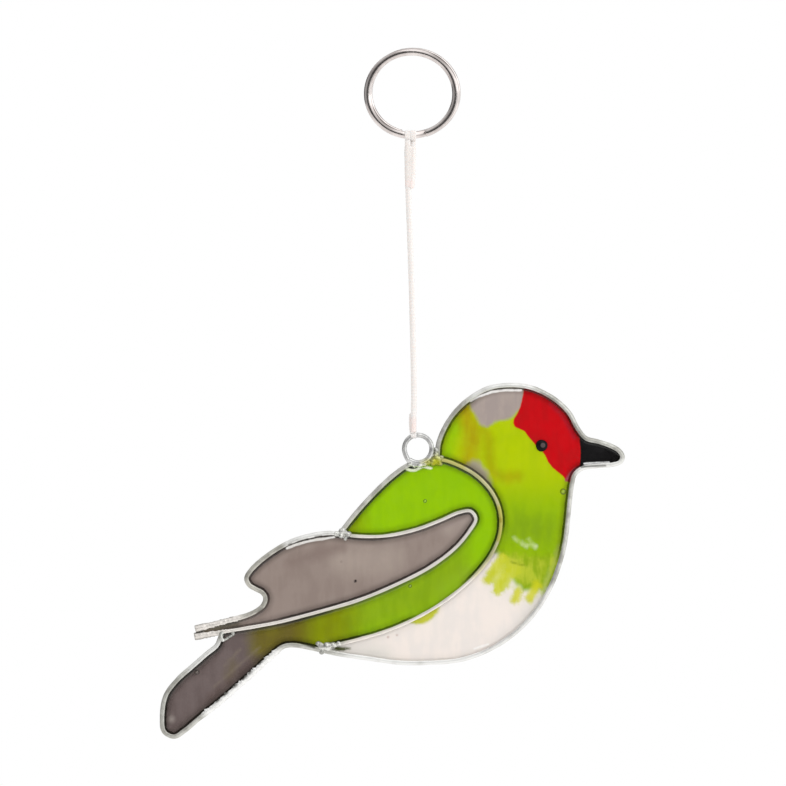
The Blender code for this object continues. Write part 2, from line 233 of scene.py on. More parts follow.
def tone(red, green, blue):
    # a colour given as it looks on a screen, 0 to 255
    levels = [v / 255 for v in (red, green, blue)]
    return (*[v / 12.92 if v < 0.04 else ((v + 0.055) / 1.055) ** 2.4 for v in levels], 1.0)


def plug(tree, socket, value):
    if isinstance(value, bpy.types.NodeSocket):
        tree.links.new(value, socket)
    else:
        socket.default_value = value


def addNode(tree, kind, plugs=(), **settings):
    made = tree.nodes.new("ShaderNode" + kind)
    for setting, value in settings.items():
        setattr(made, setting, value)
    for socket, value in dict(plugs).items():
        plug(tree, made.inputs[socket], value)
    return made


def calc(tree, operation, *values):
    return addNode(tree, "Math", dict(enumerate(values)), operation=operation).outputs[0]


def times(tree, first, second):
    return calc(tree, "MULTIPLY", first, second)


def drawTo(tree, value, share, level):
    # the value drawn towards a level, wholly where the share is 1
    return calc(tree, "MULTIPLY_ADD", share, calc(tree, "SUBTRACT", level, value), value)


def mixTones(tree, share, first, second, blend="MIX"):
    made = addNode(tree, "Mix", data_type="RGBA", blend_type=blend)
    for place, value in zip((0, 6, 7), (share, first, second)):
        plug(tree, made.inputs[place], value)
    return made.outputs[2]


def fade(tree, value, low, high, atLow=0.0, atHigh=1.0):
    # a smooth step between two levels of a value
    plugs = {0: value, 1: low, 2: high, 3: atLow, 4: atHigh}
    return addNode(tree, "MapRange", plugs, interpolation_type="SMOOTHSTEP").outputs[0]


def noiseField(tree, scale, detail=3, stretch=(1, 1, 1)):
    place = addNode(tree, "TexCoord").outputs["Object"]
    scaled = addNode(tree, "Mapping", {"Vector": place, "Scale": stretch}).outputs[0]
    plugs = {"Vector": scaled, "Scale": scale, "Detail": detail, "Roughness": 0.55}
    return addNode(tree, "TexNoise", plugs).outputs["Fac"]


def pointValue(tree, title):
    return addNode(tree, "Attribute", attribute_name=title).outputs["Fac"]


def newFinish(name):
    finish = bpy.data.materials.new(name)
    finish.use_nodes = True
    return finish, finish.node_tree, finish.node_tree.nodes["Principled BSDF"]


def dress(tree, surface, values):
    for title, value in values.items():
        plug(tree, surface.inputs[title], value)


def addBump(tree, surface, height, look):
    plugs = {"Height": height, "Strength": look["bump"], "Distance": look["bumpDepth"]}
    plug(tree, surface.inputs["Normal"], addNode(tree, "Bump", plugs).outputs[0])


def metalFinish(name, look):
    # drawn or molten metal: two tones in clouds, tinted where point values say (stains, and in
    # places painted shade, highlight or dark reflection), fine scratches
    finish, tree, surface = newFinish(name)
    cloud = noiseField(tree, look["cloudScale"], 4)
    grain = noiseField(tree, look["grainScale"])
    colour = mixTones(tree, fade(tree, cloud, 0.35, 0.65), look["dark"], look["bright"])
    for title, tint in look["tints"].items():
        patchy = fade(tree, cloud, 0.2, 0.5, 0.65, 1.0)
        colour = mixTones(tree, times(tree, pointValue(tree, title), patchy), colour, tint)
    dress(tree, surface, {
        "Base Color": colour,
        "Metallic": look["metallic"],
        "Roughness": fade(tree, grain, 0.3, 0.7, *look["roughness"]),
    })
    uneven = calc(tree, "ADD", grain, times(tree, cloud, 1.5))
    addBump(tree, surface, uneven, look)
    return finish


studio = {
    "photoWidth": 0.20310,  # metres across the picture at the bird's own plane
    "aim": (-0.00499, 0.0, -0.08708),
    "lens": 200.0,
    "sensor": 36.0,
    "floorHeight": -0.9,
    "floorRadius": 6.0,
    "fillLevel": 1.1,
    "roomLevel": 0.74,
    "sideLevel": 0.26,
    "topLevel": 0.18,
    "wallLevel": 0.45,  # a grey wall on the left, darker where it runs on behind
    "farWallLevel": 0.07,
    "cornerLevel": 0.3,  # a grey corner above on the right
    "cameraLevel": 0.09,  # and the dark spot that the camera makes in the room
}

lamps = {
    "key_softbox": {"place": (0.8, -1.0, 0.95), "size": (2.4, 2.0), "watts": 14.0},
    "side_softbox": {"place": (1.5, -0.15, -0.1), "size": (1.2, 1.6), "watts": 4.0},
    "back_softbox": {"place": (0.4, 1.2, 1.0), "size": (1.2, 0.9), "watts": 2.5},
}


def buildStudio():
    aim = Vector(studio["aim"])
    lens = bpy.data.cameras.new("photo_camera")
    lens.lens = studio["lens"]
    lens.sensor_width = studio["sensor"]
    lens.clip_start = 0.05
    lens.clip_end = 40.0
    camera = bpy.data.objects.new("photo_camera", lens)
    distance = studio["photoWidth"] * studio["lens"] / studio["sensor"]
    camera.location = aim - Vector((0, distance, 0))
    camera.rotation_euler = (math.radians(90), 0, 0)
    bpy.context.scene.collection.objects.link(camera)
    bpy.context.scene.camera = camera
    bpy.context.scene.view_settings.view_transform = "Standard"

    for name, lamp in lamps.items():
        light = bpy.data.lights.new(name, "AREA")
        light.shape = "RECTANGLE"
        light.size, light.size_y = lamp["size"]
        light.energy = lamp["watts"]
        holder = bpy.data.objects.new(name, light)
        holder.location = lamp["place"]
        holder.rotation_euler = (aim - holder.location).to_track_quat("-Z", "Y").to_euler()
        bpy.context.scene.collection.objects.link(holder)

    # the room: white where it is seen directly or through resin. Metal and gloss mirror a pale
    # room, brighter to the right and above, with a grey wall on the left. The shares below are
    # parts of a heading of length 1: x to the right, y away from the viewer and z upwards.
    world = bpy.data.worlds.new("pale_room")
    world.use_nodes = True
    bpy.context.scene.world = world
    tree = world.node_tree
    back = tree.nodes["Background"]
    heading = addNode(tree, "TexCoord").outputs["Generated"]
    x, y, z = addNode(tree, "SeparateXYZ", {0: heading}).outputs
    side = times(tree, fade(tree, x, 0.05, 0.3), fade(tree, y, -0.2, -0.6))
    top = times(tree, fade(tree, z, 0.4, 0.9), studio["topLevel"])
    room = calc(tree, "MULTIPLY_ADD", side, studio["sideLevel"], top)
    room = calc(tree, "ADD", room, studio["roomLevel"])
    room = calc(tree, "MAXIMUM", room, fade(tree, y, 0.55, 0.95))
    height = calc(tree, "ABSOLUTE", calc(tree, "SUBTRACT", z, 0.08))
    wall = times(tree, fade(tree, x, 0.3, 0.05), fade(tree, height, 0.55, 0.3))
    wallLevel = fade(tree, y, -0.45, -0.15, studio["wallLevel"], studio["farWallLevel"])
    room = drawTo(tree, room, wall, wallLevel)
    corner = times(tree, fade(tree, x, 0.25, 0.45), fade(tree, z, 0.3, 0.5))
    corner = times(tree, corner, fade(tree, calc(tree, "ABSOLUTE", y), 0.6, 0.35))
    room = drawTo(tree, room, corner, studio["cornerLevel"])
    room = drawTo(tree, room, fade(tree, y, -0.9, -0.97), studio["cameraLevel"])
    path = addNode(tree, "LightPath").outputs
    seen = calc(tree, "MAXIMUM", path["Is Camera Ray"], path["Is Transmission Ray"])
    soft = times(tree, path["Is Diffuse Ray"], studio["fillLevel"])
    mirrored = times(tree, room, calc(tree, "SUBTRACT", 1.0, path["Is Diffuse Ray"]))
    glow = calc(tree, "MAXIMUM", seen, calc(tree, "ADD", soft, mirrored))
    dress(tree, back, {"Strength": glow, "Color": (1.0, 1.0, 1.0, 1.0)})

    built = bmesh.new()
    bmesh.ops.create_circle(built, cap_ends=True, radius=studio["floorRadius"], segments=96)
    mesh = bpy.data.meshes.new("studio_floor")
    built.to_mesh(mesh)
    built.free()
    floor = bpy.data.objects.new("studio_floor", mesh)
    floor.location.z = studio["floorHeight"]
    bpy.context.scene.collection.objects.link(floor)
    finish, tree, surface = newFinish("pale_floor_paint")
    mottle = fade(tree, noiseField(tree, 3.0, 4), 0.3, 0.7)
    colour = mixTones(tree, mottle, tone(244, 243, 242), tone(250, 249, 248))
    dress(tree, surface, {"Base Color": colour, "Roughness": 0.8})
    mesh.materials.append(finish)


buildStudio()
print("studio: camera, three softboxes and a pale floor")


cordLook = {
    "diameter": 1.5 * mm,
    "sides": 20, "ringSpacing": 0.16 * mm,
    "easing": 4,  # how many times the pulled line is smoothed
    "strands": 4,
    "plaitLength": 3.4 * mm,  # along the cord for one full turn of a strand's diamonds
    "relief": 0.012 * mm,
    "light": tone(218, 214, 211), "shade": tone(211, 205, 202), "dust": tone(206, 199, 195),
    "fibreScale": 9000.0, "dustScale": 260.0,
    "roughness": (0.75, 0.95), "sheen": 0.12, "glow": 0.2,
    "bump": 0.15, "bumpDepth": 0.05 * mm,
}
# how far light sinks into cord and glue
paleDepth = {"Subsurface Radius": (1.0 * mm, 0.8 * mm, 0.7 * mm), "Subsurface Scale": 1.0}

# Where the cord is pulled tight and flat: the (y, z) middle of the metal inside the loop, its
# half sizes, half the cord's thickness there, and how far out the pull is full and then gone
tightLoops = [
    {"centre": (0.0, -20.6), "half": (1.18, 0.95), "corner": 3.0, "squeezed": 0.22,
     "full": 3.0, "none": 5.2},
    {"centre": (-1.67, -97.93), "half": (0.62, 0.62), "corner": 2.0, "squeezed": 0.14,
     "full": 2.4, "none": 4.5},
]


def cordFinish():
    finish, tree, surface = newFinish("off_white_braid")
    relief = pointValue(tree, "relief")
    fibre = noiseField(tree, cordLook["fibreScale"], 2)
    dust = noiseField(tree, cordLook["dustScale"])
    colour = mixTones(tree, fade(tree, relief, -1.0, 0.5), cordLook["shade"], cordLook["light"])
    dusty = fade(tree, dust, 0.5, 0.8, 0.0, 0.35)
    dress(tree, surface, {
        "Base Color": mixTones(tree, dusty, colour, cordLook["dust"]),
        "Roughness": fade(tree, fibre, 0.3, 0.7, *cordLook["roughness"]),
        "Sheen Weight": cordLook["sheen"],
        "Subsurface Weight": cordLook["glow"], **paleDepth,
    })
    addBump(tree, surface, fibre, cordLook)
    return finish


def pullTight(line):
    # draws both loops in; also returns how flat the cord lies and towards where
    flat = np.ones(len(line))
    inward = np.zeros_like(line)
    for loop in tightLoops:
        centre = np.array(loop["centre"]) * mm
        away = line[:, 1:] - centre
        reach = np.linalg.norm(away, axis=1)
        heading = away / reach[:, None]
        half = (np.array(loop["half"]) + loop["squeezed"]) * mm
        snug = (np.abs(heading / half) ** loop["corner"]).sum(1) ** (-1 / loop["corner"])
        share = np.clip((loop["none"] - reach / mm) / (loop["none"] - loop["full"]), 0, 1)
        share = share * share * (3 - 2 * share)
        line[:, 1:] = centre + heading * (reach + (snug - reach) * share)[:, None]
        flat -= (1 - 2 * loop["squeezed"] * mm / cordLook["diameter"]) * share
        inward[share > 0, 1:] = heading[share > 0]
    for _ in range(cordLook["easing"]):
        line[1:-1] = (line[:-2] + 2 * line[1:-1] + line[2:]) / 4
    return line, flat, inward


def braidCord():
    line = evenly(smoothLine(cordRoute, 0.12), cordLook["ringSpacing"])
    line, flat, inward = pullTight(line)
    sides = cordLook["sides"]
    steps = np.linalg.norm(np.diff(line, axis=0), axis=1)
    along = np.concatenate([[0], np.cumsum(steps)])[:, None] / cordLook["plaitLength"]
    round_ = np.arange(sides)[None, :] / sides
    strands = cordLook["strands"]
    left = np.cos(2 * math.pi * (strands * round_ + strands / 2 * along))
    right = np.cos(2 * math.pi * (strands * round_ - strands / 2 * along))
    plait = left * right
    radius = cordLook["diameter"] / 2 + cordLook["relief"] * (plait - 0.3)
    points, faces = tubeArrays(line, radius, sides, meltedEnd)
    head = len(meltedEnd)
    own = slice(head * sides, (head + len(line)) * sides)
    offset = points[own].reshape(len(line), sides, 3) - line[:, None]
    depth = (offset * inward[:, None]).sum(2) * (1 - flat[:, None])
    points[own] -= (inward[:, None] * depth[..., None]).reshape(-1, 3)
    relief = np.zeros(len(points))
    relief[own] = plait.ravel()
    cord = newPiece("tied_cord", points, faces, cordFinish(), "cord", relief=relief)
    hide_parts("hanging_cord")
    return cord, line


def row(count, start, step, size, bend=0.0):
    # a row of balls for a molten shape, with equal steps and a bend towards the viewer
    (x, y, z), (stepX, stepZ) = start, step
    return [((x + stepX * k, y + bend * k * k, z + stepZ * k), size) for k in range(count)]


def meltedShape(name, balls, voxel, finish, slotName, rough, seed, stainAt):
    # balls are (centre, half sizes) in millimetres, melted into one skin of small facets
    built = bmesh.new()
    for centre, size in balls:
        made = bmesh.ops.create_icosphere(built, subdivisions=3, radius=1.0)["verts"]
        for vertex in made:
            vertex.co = Vector(centre) * mm + Vector([a * b * mm for a, b in zip(vertex.co, size)])
    mesh = bpy.data.meshes.new(name)
    built.to_mesh(mesh)
    built.free()
    lump = bpy.data.objects.new(name + "_balls", mesh)
    bpy.context.scene.collection.objects.link(lump)
    remesh = lump.modifiers.new("melt", "REMESH")
    remesh.mode = "VOXEL"
    remesh.voxel_size = voxel * mm
    smooth = lump.modifiers.new("flow", "SMOOTH")
    smooth.iterations = 6
    graph = bpy.context.evaluated_depsgraph_get()
    skin = lump.evaluated_get(graph).to_mesh()
    points = np.array([v.co for v in skin.vertices])
    normals = np.array([v.normal for v in skin.vertices])
    faces = [tuple(p.vertices) for p in skin.polygons]
    bpy.data.objects.remove(lump)
    depth, size = rough
    points += normals * (ripple(points, size * mm, seed) * depth * mm)[:, None]
    stain = np.zeros(len(points))
    if stainAt:
        centre, reach = stainAt
        away = np.linalg.norm(points - np.array(centre) * mm, axis=1)
        stain = np.clip(1.5 - away / (reach * mm), 0, 1)
    return newPiece(name, points, faces, finish, slotName, stain=stain)


glueLook = {
    # rough is the depth and size of a join's unevenness, pink the middle and reach of its stain
    "joins": {
        "glue_at_ring": {
            "balls": row(6, (-1.06, -0.38, -31.4), (0, -0.45), (0.86, 0.86, 0.6))
            + row(7, (-0.1, -0.4, -31.2), (-0.03, -0.42), (0.86, 0.88, 0.6))
            + row(6, (-0.55, -0.4, -31.4), (0, -0.45), (0.8, 0.84, 0.6))
            + row(20, (-1.06, -0.38, -31.4), (-0.006, 0.4), (0.9, 0.92, 0.6), -0.003)
            + row(20, (-0.07, -0.41, -31.4), (0.008, 0.4), (0.88, 0.91, 0.6), -0.0024)
            + row(20, (-0.55, -0.42, -31.4), (0, 0.4), (0.66, 0.87, 0.6), -0.0027),
            "voxel": 0.1, "rough": (0.03, 1.6), "seed": 4, "pink": ((-0.5, -0.4, -32.9), 1.3),
        },
        "glue_at_eye": {
            "balls": row(9, (0.32, -2.5, -93.4), (0, -0.42), (0.74, 0.84, 0.6))
            + row(9, (-0.02, -0.85, -93.0), (0, -0.45), (0.76, 0.8, 0.6))
            + row(8, (0.14, -1.6, -93.3), (0, -0.46), (0.82, 0.85, 0.6)),
            "voxel": 0.11, "rough": (0.05, 1.2), "seed": 5, "pink": ((0.1, -1.6, -95.4), 3.0),
        },
    },
    "tones": (tone(219, 213, 209), tone(215, 209, 205)),
    "pinkish": tone(222, 208, 204),
    "roughness": (0.3, 0.5), "cloudScale": 900.0, "glow": 0.25,
    "bump": 0.12, "bumpDepth": 0.12 * mm,
}


def glueFinish():
    finish, tree, surface = newFinish("hardened_glue")
    cloud = noiseField(tree, glueLook["cloudScale"])
    colour = mixTones(tree, fade(tree, cloud, 0.3, 0.7), *glueLook["tones"])
    dress(tree, surface, {
        "Base Color": mixTones(tree, pointValue(tree, "stain"), colour, glueLook["pinkish"]),
        "Roughness": fade(tree, cloud, 0.3, 0.7, *glueLook["roughness"]),
        "Subsurface Weight": glueLook["glow"], **paleDepth,
    })
    addBump(tree, surface, cloud, glueLook)
    return finish


cord, cordLine = braidCord()
glue = glueFinish()
glueJoints = [
    meltedShape(name, join["balls"], join["voxel"], glue, "cord", join["rough"], join["seed"],
                join["pink"])
    for name, join in glueLook["joins"].items()
]


ringLook = {
    "width": 25.0 * mm,
    "height": 23.7 * mm,
    "middle": -9.65 * mm,
    "band": 1.85 * mm,
    "wireDepth": 1.1 * mm,
    "pitch": 1.25 * mm,
    # in degrees from the ring's bottom, past its right side and its top
    "start": 19.0, "crossing": (347.0, 379.0), "end": 705.5, "step": 1.5,
    "sectionStep": 12, "crown": 0.9,  # of the wire's flat section
    "filed": ((0.9, 0.12), (0.5, 0.16)),  # share of the section, and how far out in millimetres
    "turnShift": (-0.175 * mm, -0.15 * mm),  # of the front turn; the back turn sits the other way
}

steelLook = {
    "dark": tone(188, 180, 177), "bright": tone(218, 211, 208), "metallic": 1.0,
    "roughness": (0.08, 0.17), "cloudScale": 160.0, "grainScale": 1500.0,
    # painted dark reflection: the steel is tinted darker in two bands round the ring
    "bump": 0.04, "bumpDepth": 0.08 * mm, "tints": {"bloom": tone(112, 106, 103)},
    "dulled": ((142.0, 24.0, 1), (318.0, 26.0, -1)),  # where round the ring, how far, which side
}


def bloomAt(degrees, across, band):
    # how much darker the steel is painted, as a dark reflection, at a place round the ring and
    # across its band
    total = 0
    for at, reach, side in steelLook["dulled"]:
        near = math.exp(-((degrees - at) / reach) ** 2)
        total += near * min(1, max(0, 0.3 + 1.2 * side * across / band))
    return total


def windRing():
    # flattened wire wound twice, its outer turn starting in front and ending behind
    band, depth = ringLook["band"] / 2, ringLook["wireDepth"] / 2
    shiftX, shiftZ = ringLook["turnShift"]
    halfWidth = ringLook["width"] / 2 - band - abs(shiftX)
    halfHeight = ringLook["height"] / 2 - band - abs(shiftZ)
    leave, arrive = ringLook["crossing"]
    profile = []  # the flat section, crowned in front and behind
    for degrees in range(0, 360, ringLook["sectionStep"]):
        a = math.radians(degrees)
        c, s = math.cos(a), math.sin(a)
        profile.append((c * band, math.copysign(abs(s) ** ringLook["crown"], s) * depth))
    rings, bloom = [], []
    for degrees in np.arange(ringLook["start"], ringLook["end"] + 0.1, ringLook["step"]):
        share = min(max((degrees - leave) / (arrive - leave), 0.0), 1.0)
        turn = 1 - 2 * share * share * (3 - 2 * share)  # 1 on the front turn, -1 on the back one
        a = math.radians(degrees)
        outward = np.array([math.sin(a), 0.0, -math.cos(a)])
        middle = np.array([
            halfWidth * math.sin(a) + shiftX * turn,
            -ringLook["pitch"] / 2 * turn,
            ringLook["middle"] - halfHeight * math.cos(a) + shiftZ * turn,
        ])
        rings.append([middle + outward * p + np.array([0, q, 0]) for p, q in profile])
        # painted dark reflection: how much darker the steel is tinted here
        bloom.append([bloomAt(degrees, p, band) for p, q in profile])
    sides = len(profile)
    for place, ahead in ((0, 1), (-1, -2)):  # the two cut ends, their edges filed round
        ring = np.array(rings[place])
        step = (ring - np.array(rings[ahead])).mean(0)
        step /= np.linalg.norm(step)
        middle = ring.mean(0)
        filed = [middle + (ring - middle) * share + step * out * mm
                 for share, out in ringLook["filed"]]
        rings = filed[::-1] + rings if place == 0 else rings + filed
    bloom = [bloom[0]] * 2 + bloom + [bloom[-1]] * 2
    points = np.vstack(rings)
    faces = ringFaces(len(rings), sides)
    faces.append(tuple(range(sides))[::-1])
    faces.append(tuple(range(len(points) - sides, len(points))))
    ring = newPiece("wound_split_ring", points, faces, metalFinish("nickel_plate", steelLook),
                    "ring_steel", bloom=np.ravel(bloom))
    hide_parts("split_ring")


eyeLook = {
    "centre": (1.47, -1.67, -101.47),
    "radius": 3.54,
    "wire": 1.24, "sides": 20,
    "openingAt": 236.0, "step": 3.0,  # both in degrees
    "overlap": 8.0,  # degrees that the two ends run past each other
    "openBy": 0.5, "openFrom": 0.88,  # how far the outer end stands off, and where that starts
    "unevenness": 0.035, "swellSize": 2.0 * mm,
    "stainBelow": (-103.6, 1.2), "stainRight": (1.5, 2.5),  # each with how far it takes to be full
}

eyeWireLook = {
    "dark": tone(168, 168, 167), "bright": tone(214, 214, 212), "metallic": 0.8,
    "roughness": (0.25, 0.4), "cloudScale": 420.0, "grainScale": 2600.0,
    "bump": 0.1, "bumpDepth": 0.1 * mm, "tints": {"stain": tone(186, 184, 96)},
}


def bendHangingEye():
    x, y, z = eyeLook["centre"]
    first = eyeLook["openingAt"] - eyeLook["overlap"] / 2
    last = eyeLook["openingAt"] + 360 + eyeLook["overlap"] / 2
    line = []
    for degrees in np.arange(first, last + 0.1, eyeLook["step"]):
        share = (degrees - first) / (last - first)
        a = math.radians(degrees)
        opening = max(0.0, share - eyeLook["openFrom"]) / (1 - eyeLook["openFrom"])
        reach = eyeLook["radius"] + eyeLook["openBy"] * opening ** 2
        line.append(((x + reach * math.cos(a)) * mm, y * mm, (z + reach * math.sin(a)) * mm))
    line = np.array(line)
    swell = eyeLook["unevenness"] * ripple(line, eyeLook["swellSize"], 11)
    sides = eyeLook["sides"]
    radius = np.repeat((eyeLook["wire"] / 2 * mm * (1 + swell))[:, None], sides, axis=1)
    points, faces = tubeArrays(line, radius, sides, cutEnd)
    (below, fullDown), (right, fullRight) = eyeLook["stainBelow"], eyeLook["stainRight"]
    low = np.clip((below - points[:, 2] / mm) / fullDown, 0, 1)
    stain = low * np.clip((points[:, 0] / mm - right) / fullRight, 0, 1)
    eye = newPiece("bent_hanging_eye", points, faces, metalFinish("drawn_wire", eyeWireLook),
                   "eye_ring_wire", stain=stain)
    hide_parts("hanging_eye")


windRing()
bendHangingEye()
print("ring: two turns, and the open wire eye")


wireLook = {
    "diameter": 1.5,
    "sides": 20, "ringSpacing": 0.3,
    "unevenness": 0.03, "swellSize": 2.5 * mm,
    "metallic": 0.55, "roughness": (0.3, 0.5), "cloudScale": 300.0, "grainScale": 2200.0,
    "bump": 0.12, "bumpDepth": 0.12 * mm,
    "tints": {
        "pale": tone(217, 212, 206), "milkAndHighlight": tone(225, 225, 223), "cream": tone(229, 222, 215),
        "yellowing": tone(188, 181, 96), "filmAndShade": tone(98, 110, 18), "amber": tone(142, 132, 28),
        "sootAndShade": tone(42, 40, 26),
    },
    "lumpSeed": 31, "lumpEase": 8,  # how many rings a stretch of rough solder takes to begin
    # the green resin's film on the sides of the wires, tinted dark as painted shade: how much
    # shows, how deep into the resin it is full, and where it gives way to the milky belly, the
    # red face and the tail
    "filmAndShade": 0.55, "filmFull": 0.6, "milkyBelow": -126, "redRight": 26, "redAbove": -112,
    "tailLeft": -34,
}


def resinLoops():
    # the outline of each pane, along the middles of the wires round it
    body, wing, feather = (smoothLine(routes[name]) for name in ("body", "wing", "feather"))
    neck = nearest(wing, body[0])
    belly = nearest(body, wing[-1])
    back = nearest(feather, wing[0])
    tail = nearest(feather, body[-1])
    point = nearest(feather[:tail], np.array((-54.6, -149.9)) * mm)
    overPoint = back + nearest(feather[back:], np.array((-54.6, -147.6)) * mm)
    rump = nearest(body, np.array((-21.6, -153.6)) * mm)
    return {
        "body": np.vstack([body[:belly], wing[neck:][::-1]]),
        "wingTail": np.vstack([wing, body[rump:], feather[tail:back]]),
        "feather": feather[point:overPoint],
    }


loops = resinLoops()

# Stains on the wires, some of them painted highlight or shade, are strokes of (x, z) places,
# each with a reach round it and a strength. A lump is a stretch of rough solder from one
# place to another, with its depth and grain.
frameWires = {
    "body_frame_wire": {
        "route": "body",
        "node": "body_wire",
        "end": meltedEnd,
        "tones": (tone(158, 157, 150), tone(196, 196, 190)),
        "runOn": 0.9,
        "swollenEnds": None,
        "lumps": [((-55.1, -171), (-33.2, -152.4), 0.34, 0.7)],
        "stains": {
            # milky resin over the wire, and a painted highlight on the head top and under the beak
            "milkAndHighlight": [
                ([(17.5, -87), (19.4, -86.1), (24.7, -85.2), (29, -85.6)], 2.5, 0.8),
                ([(52.2, -105.4), (48, -105.8), (43.9, -106.4)], 2, 0.8),
                ([(34.5, -139.5), (26.7, -148.7), (20.1, -153.1)], 3, 0.6),
                ([(16.5, -154.4), (12.7, -155.8), (4.8, -156.6), (-3.2, -156.6),
                  (-14, -155.1)], 4, 0.9),
                ([(-56.7, -157.8), (-52.8, -154.4), (-50.4, -152.4)], 1.5, 0.7),
                ([(-52.5, -168.9), (-42.6, -160.5), (-36, -154.6)], 2, 1),
            ],
            # dark smears, and on the forehead and under the beak a painted shade
            "sootAndShade": [
                ([(33.3, -87.3), (36.15, -89), (39.9, -92.5), (42.3, -96.8),
                  (44.3, -99.1)], 0.5, 0.4),
                ([(43.6, -106.15), (46, -105.95), (49.8, -105.85)], 0.25, 0.75),
                ([(38.6, -127.2), (37.4, -131.4), (35.15, -137), (31.6, -143), (26.4, -148.4),
                  (19.9, -152.8)], 0.25, 0.22),
                ([(-50.6, -166.6), (-50.1, -166.3)], 0.45, 0.8),
                ([(-48.5, -164.9), (-47.9, -164.3)], 0.4, 0.9),
                ([(-46.2, -162.8), (-45.6, -162.4)], 0.5, 0.8),
                ([(-43.8, -160.8), (-43, -160)], 0.45, 0.9),
                ([(-42.2, -159.4), (-41.9, -159)], 0.4, 0.8),
                ([(-39.6, -156.9), (-39, -156.4)], 0.35, 0.8),
                ([(-28, -151.6), (-25.4, -152.5)], 0.5, 1),
            ],
        },
    },
    "wing_frame_wire": {
        "route": "wing",
        "node": "wing_wire",
        "end": meltedEnd,
        "tones": (tone(164, 163, 156), tone(202, 201, 194)),
        "runOn": 0.9,
        "swollenEnds": None,
        "lumps": [],
        "stains": {
            "yellowing": [
                ([(7, -104.4), (10, -105), (12.2, -105.9)], 2, 0.9),
                ([(14.5, -107.1), (20.7, -112.9), (22, -115.7)], 2, 0.6),
                ([(22.5, -117.5), (22.7, -121), (22.4, -124)], 2, 1),
                ([(21.6, -126.5), (19.4, -130.4), (17, -133.3)], 2, 0.5),
            ],
            "cream": [
                ([(15.9, -134.5), (9.1, -140.3), (1.4, -145), (-6.6, -148.5),
                  (-14.3, -150.8)], 3.5, 0.95),
            ],
            "amber": [
                ([(22.7, -119.7), (22.7, -120.1)], 0.5, 0.7),
            ],
        },
    },
    "feather_frame_wire": {
        "route": "feather",
        "node": "feather_wire",
        "end": cutEnd,
        "tones": (tone(150, 148, 140), tone(188, 186, 177)),
        "runOn": 0,
        "swollenEnds": (5, 0.3),
        "lumps": [((-56.2, -150.2), (-46.5, -148.4), 0.22, 0.65),
                  ((-56, -148.1), (-43.5, -145), 0.22, 0.65)],
        "stains": {
            "pale": [
                ([(-56.2, -150.2), (-34.2, -146.2), (-13.4, -140.4), (-3.2, -136.1), (4.5, -132.1),
                  (11, -127.2), (16.4, -119.6), (7.2, -120), (0.7, -122.4), (-7.1, -124),
                  (-12.5, -124.2)], 2.5, 1),
                ([(-56, -148.1), (-50.3, -146.5), (-46, -145)], 1.5, 1),
            ],
            # painted highlight along the upper wire
            "milkAndHighlight": [
                ([(-20.5, -122.9), (-25.9, -123.6), (-29.5, -124.6), (-31.8, -125.4)], 1.6, 0.85),
            ],
            # dark specks, and along the upper wire and between the tip's wires a painted shade
            "sootAndShade": [
                ([(-38.6, -143), (-39.8, -144)], 0.45, 0.7),
                ([(-56.2, -149.05), (-53.5, -148.6)], 0.28, 0.8),
                ([(-31.9, -126.3), (-31.2, -126)], 0.25, 0.8),
                ([(-29.6, -125.5), (-27, -124.75)], 0.22, 0.8),
                ([(-25, -124.2), (-23.4, -123.95)], 0.2, 0.7),
                ([(-56.2, -147.2), (-51, -145.9), (-46.5, -144.9)], 0.22, 0.45),
                ([(-56.3, -150.9), (-54, -150.5), (-51.2, -150)], 0.25, 0.55),
                ([(-56.5, -149.7), (-56.4, -150.7)], 0.3, 0.7),
                ([(-56.3, -147.9), (-56.2, -148.6)], 0.25, 0.5),
            ],
        },
    },
}


def resinFilm(places):
    # from 0 on a wire's middle to 1 on the side that dips into green resin
    filmAndShade = np.zeros(len(places))
    for name in ("body", "wingTail"):
        depth = distanceToLine(places, loops[name], closed=True) / mm
        depth[~insideOutline(places, loops[name])] = 0
        filmAndShade = np.maximum(filmAndShade, np.clip(depth / wireLook["filmFull"], 0, 1))
    x, z = places.T / mm
    milky = np.clip((wireLook["milkyBelow"] - z) / 5, 0, 1)
    milky = milky * ~insideOutline(places, loops["wingTail"])
    right, up = (x - wireLook["redRight"]) / 4, (z - wireLook["redAbove"]) / 4
    red = np.clip(np.minimum(right, up), 0, 1)
    green = np.clip((x - wireLook["tailLeft"]) / 6, 0, 1)
    return filmAndShade * green * (1 - milky) * (1 - red)


